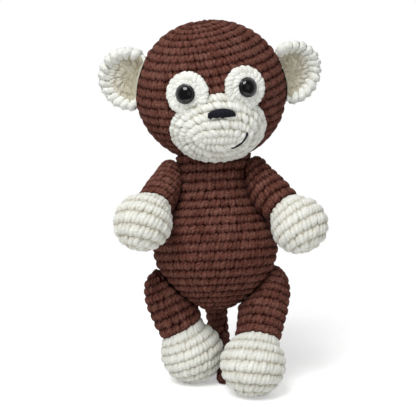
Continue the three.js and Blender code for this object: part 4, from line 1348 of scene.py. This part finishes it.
# Seams of sewing yarn: how many stitches, the radii and heights that they run between, and their radius

seamShape = {
    "neck": {
        "stitches": 34, "gap": 0.35, "yarn": 1.1, "in": -1.1, "radius": 0.85, "overlap": 0.55,
        "heights": (-0.45, 0.35), "bow": 0.25,
    },
    "shoulder": {"stitches": 5, "inner": 2.9, "outer": 4.1, "heights": (0.4, 1.1), "radius": 0.5, "half": 1.15},
    "hip": {"stitches": 14, "inner": 5.9, "outer": 8.6, "heights": (0.75, 0.75), "radius": 0.42},
    "tail": {"stitches": 17, "inner": 4.35, "outer": 5.2, "heights": (-0.7, 2.5), "radius": 0.75},
}


def neckSeam():
    v = seamShape["neck"]
    middle = torsoShape["rimRadius"] + v["gap"] + v["in"]
    bulge = (headShape["halfWidth"] - headShape["radius"]) * (middle / headShape["radius"]) ** 2
    reach = headShape["radius"] + bulge + v["gap"] + v["yarn"]
    high = headLift - math.sqrt(reach ** 2 - middle ** 2)
    count = v["stitches"]
    angle = oneTurn(count) + rng.normal(0, 0.01, count)
    half = 2 * math.pi / count * v["overlap"]

    def at(turned, radius, height):
        return inTorso(np.stack([radius * np.cos(turned), radius * np.sin(turned), np.full(count, height)], -1))
    outward = np.stack([np.cos(angle), np.sin(angle), np.full(count, -0.25)], -1) @ torsoTurn.T
    starts = at(angle - half, middle - 0.1, high + v["heights"][0])
    ends = at(angle + half, middle + 0.1, high + v["heights"][1])
    return straightStrands(starts, ends, outward, v["radius"], v["bow"])


def ringSeam(seat, outward, v, away=None):
    # stitches that cross a join, spread round a seat on the torso, or round its side that looks away
    across = unit(np.cross(outward, [0.0, 1.0, 0.2]))
    up = np.cross(outward, across)
    turned = oneTurn(v["stitches"])
    if away is not None:
        middle = math.atan2(away @ up, away @ across)
        turned = np.linspace(middle - v["half"], middle + v["half"], v["stitches"])
    spoke = np.cos(turned)[:, None] * across + np.sin(turned)[:, None] * up
    starts = inTorso(seat + spoke * v["outer"] + outward * v["heights"][0])
    ends = inTorso(seat + spoke * v["inner"] + outward * v["heights"][1])
    return joinStrands([straightStrands(starts, ends, (spoke * 0.3 + outward) @ torsoTurn.T, v["radius"], 0.2)])


makePiece("neckSeam", joinStrands([neckSeam()]), brownWool, "neck", ["neck_seam"])
for sideName, side in (("left", 1), ("right", -1)):
    outward = aroundTorso(side, armShape["shoulderAngle"], 1, 0)
    seat = aroundTorso(side, armShape["shoulderAngle"], torsoShape["waistRadius"] + 0.2, armShape["shoulderHeight"])
    shoulder, hand = armPlan(sideName)
    away = shoulder - hand
    data = ringSeam(seat, outward, seamShape["shoulder"], unit(away - outward * (away @ outward)))
    makePiece(f"{sideName}ShoulderSeam", data, brownWool, "torso", [f"shoulder_seam_{sideName}"])
    outward, contact, hip = hipPlan(sideName)
    data = ringSeam(contact, outward, seamShape["hip"])
    makePiece(f"{sideName}HipSeam", data, brownWool, "torso", [f"hip_seam_{sideName}"])
data = ringSeam(tailSeat, tailOut, seamShape["tail"])
makePiece("tailSeam", data, brownWool, "torso", ["tail_seam"])
print("seams sewn")


# Stuffing: the solid inside each cover, as lumpy fibre

fillShape = {"voxel": 1.5, "lump": 0.55, "sink": 0.25, "legSink": 1.6, "waves": 9, "slow": 0.4, "quick": 1.1}


def lumpyFill(name, node, body, sink=fillShape["sink"]):
    v = fillShape
    copy = bpy.data.objects.new(name, frame["nodes"][node].data.copy())
    bpy.context.scene.collection.objects.link(copy)
    remesh = copy.modifiers.new("even", "REMESH")
    remesh.mode = "VOXEL"
    remesh.voxel_size = v["voxel"] * 0.001
    bpy.context.view_layer.update()
    made = bpy.data.meshes.new_from_object(copy.evaluated_get(bpy.context.evaluated_depsgraph_get()))
    bpy.data.objects.remove(copy)
    made.name = name
    points, normals = np.empty(len(made.vertices) * 3), np.empty(len(made.vertices) * 3)
    made.vertices.foreach_get("co", points)
    made.vertices.foreach_get("normal", normals)
    points, normals = points.reshape(-1, 3) * 1000, normals.reshape(-1, 3)
    wave = waves(points, v["waves"], v["slow"], v["quick"]) / v["waves"]
    points -= normals * (sink + v["lump"] * (0.5 + wave).clip(0, 1))[:, None]
    made.vertices.foreach_set("co", (points * 0.001).ravel())
    made.materials.clear()
    made.materials.append(fibreFill)
    made.shade_smooth()
    piece = bpy.data.objects.new(name, made)
    bpy.context.scene.collection.objects.link(piece)
    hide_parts(node)
    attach(piece, body)


lumpyFill("headFill", "head_stuffing", "head")
lumpyFill("muzzleFill", "muzzle_stuffing", "head")
lumpyFill("torsoFill", "torso_stuffing", "torso")
for sideName in ("left", "right"):
    lumpyFill(f"{sideName}ArmFill", f"arm_stuffing_{sideName}", f"arm_{sideName}")
    lumpyFill(f"{sideName}LegFill", f"leg_stuffing_{sideName}", f"leg_{sideName}", fillShape["legSink"])
print("stuffing made")


# Camera, light and floor

view = {
    "from": (-2.65, -495.13, 164.59),   # beside the standing toy, in millimetres
    "down": 8.0,
    "lens": 81.64,
}
camera = bpy.data.objects.new("camera", bpy.data.cameras.new("camera"))
camera.data.lens = view["lens"]
camera.data.sensor_width = 36.0
camera.data.clip_start = 0.01
bpy.context.scene.collection.objects.link(camera)
camera.location = (standPlace + np.array(view["from"])) * 0.001
camera.rotation_euler = (math.radians(90 - view["down"]), 0, 0)
bpy.context.scene.camera = camera

lighting = {
    "key": {"at": (-0.24, -0.53, 0.86), "aim": (0, 0, 0.10), "size": (0.5, 0.5), "power": 8.2},
    "fill": {"at": (0.4, -0.9, 0.25), "aim": (0, 0, 0.09), "size": (0.7, 0.7), "power": 0.5},
    "rim": {"at": (0.1, 0.75, 0.75), "aim": (0, 0, 0.12), "size": (0.8, 0.5), "power": 1.2},
    "world": 0.4,
    "worldSeen": 1.0,
    "room": 0.12,    # what gloss shows in front of the toy
}


for lampName in ("key", "fill", "rim"):
    values = lighting[lampName]
    lamp = bpy.data.objects.new(lampName + "Light", bpy.data.lights.new(lampName + "Light", "AREA"))
    lamp.data.shape = "RECTANGLE"
    lamp.data.size, lamp.data.size_y = values["size"]
    lamp.data.energy = values["power"]
    bpy.context.scene.collection.objects.link(lamp)
    lamp.location = values["at"]
    turn = turnZTo(np.array(values["at"]) - np.array(values["aim"]))
    lamp.rotation_euler = Matrix(turn.tolist()).to_euler()


def mixValue(tree, factor, a, b):
    return addNode(tree, "ShaderNodeMix", {0: factor, 2: a, 3: b}, data_type="FLOAT").outputs[0]


def whiteWorld():
    # white where it is seen; gloss shows the white backdrop behind the toy and the darker room in front of it
    world = bpy.data.worlds.new("studio")
    bpy.context.scene.world = world
    world.use_nodes = True
    tree = world.node_tree
    path = addNode(tree, "ShaderNodeLightPath").outputs
    way = addNode(tree, "ShaderNodeSeparateXYZ", {0: addNode(tree, "ShaderNodeTexCoord").outputs["Generated"]})
    backdrop = rangeNode(tree, way.outputs[1], lighting["room"], lighting["worldSeen"], -0.5, 0.3, "SMOOTHSTEP")
    soft = mixValue(tree, path["Is Glossy Ray"], lighting["world"], backdrop)
    direct = mathNode(tree, "MAXIMUM", path["Is Camera Ray"], path["Is Transmission Ray"])
    setInputs(tree, tree.nodes["Background"], {
        "Color": (1, 1, 1, 1), "Strength": mixValue(tree, direct, soft, lighting["worldSeen"]),
    })


whiteWorld()

floorLook = {"radius": 1.2, "fadeFrom": 0.09, "fadeTo": 0.22, "colour": (0.92, 0.92, 0.92), "lift": 0.35}


def paleFloor():
    # a pale disc that keeps the shadow, glows a little where it is seen and fades into the white around it
    material, tree = newMaterial("paleFloor")
    tree.nodes.clear()
    place = addNode(tree, "ShaderNodeTexCoord").outputs["Object"]
    reach = addNode(tree, "ShaderNodeVectorMath", {0: place}, operation="LENGTH").outputs["Value"]
    fade = rangeNode(tree, reach, 0.0, 1.0, floorLook["fadeFrom"], floorLook["fadeTo"], "SMOOTHSTEP")
    path = addNode(tree, "ShaderNodeLightPath").outputs
    direct = mathNode(tree, "MAXIMUM", path["Is Camera Ray"], path["Is Glossy Ray"])
    matt = addNode(tree, "ShaderNodeBsdfDiffuse", {"Color": (*floorLook["colour"], 1)})
    glow = addNode(tree, "ShaderNodeEmission", {"Strength": mathNode(tree, "MULTIPLY", direct, floorLook["lift"])})
    both = addNode(tree, "ShaderNodeAddShader", {0: matt.outputs[0], 1: glow.outputs[0]})
    clear = addNode(tree, "ShaderNodeBsdfTransparent")
    blend = addNode(tree, "ShaderNodeMixShader", {
        0: mathNode(tree, "MULTIPLY", fade, direct), 1: both.outputs[0], 2: clear.outputs[0]})
    addNode(tree, "ShaderNodeOutputMaterial", {"Surface": blend.outputs[0]})
    return material


def floorDisc():
    rings, around = 24, 96
    radii = floorLook["radius"] * (np.arange(rings + 1) / rings) ** 1.5
    disc = gridMesh(spun(np.stack([radii, np.zeros(rings + 1)], 1), around))
    mesh = bpy.data.meshes.new("floor")
    mesh.from_pydata(disc["points"].tolist(), [], disc["loops"].reshape(-1, 4).tolist())
    mesh.materials.append(paleFloor())
    floor = bpy.data.objects.new("floor", mesh)
    bpy.context.scene.collection.objects.link(floor)


floorDisc()
bpy.context.scene.view_settings.view_transform = "Standard"
print("camera, light and floor placed")
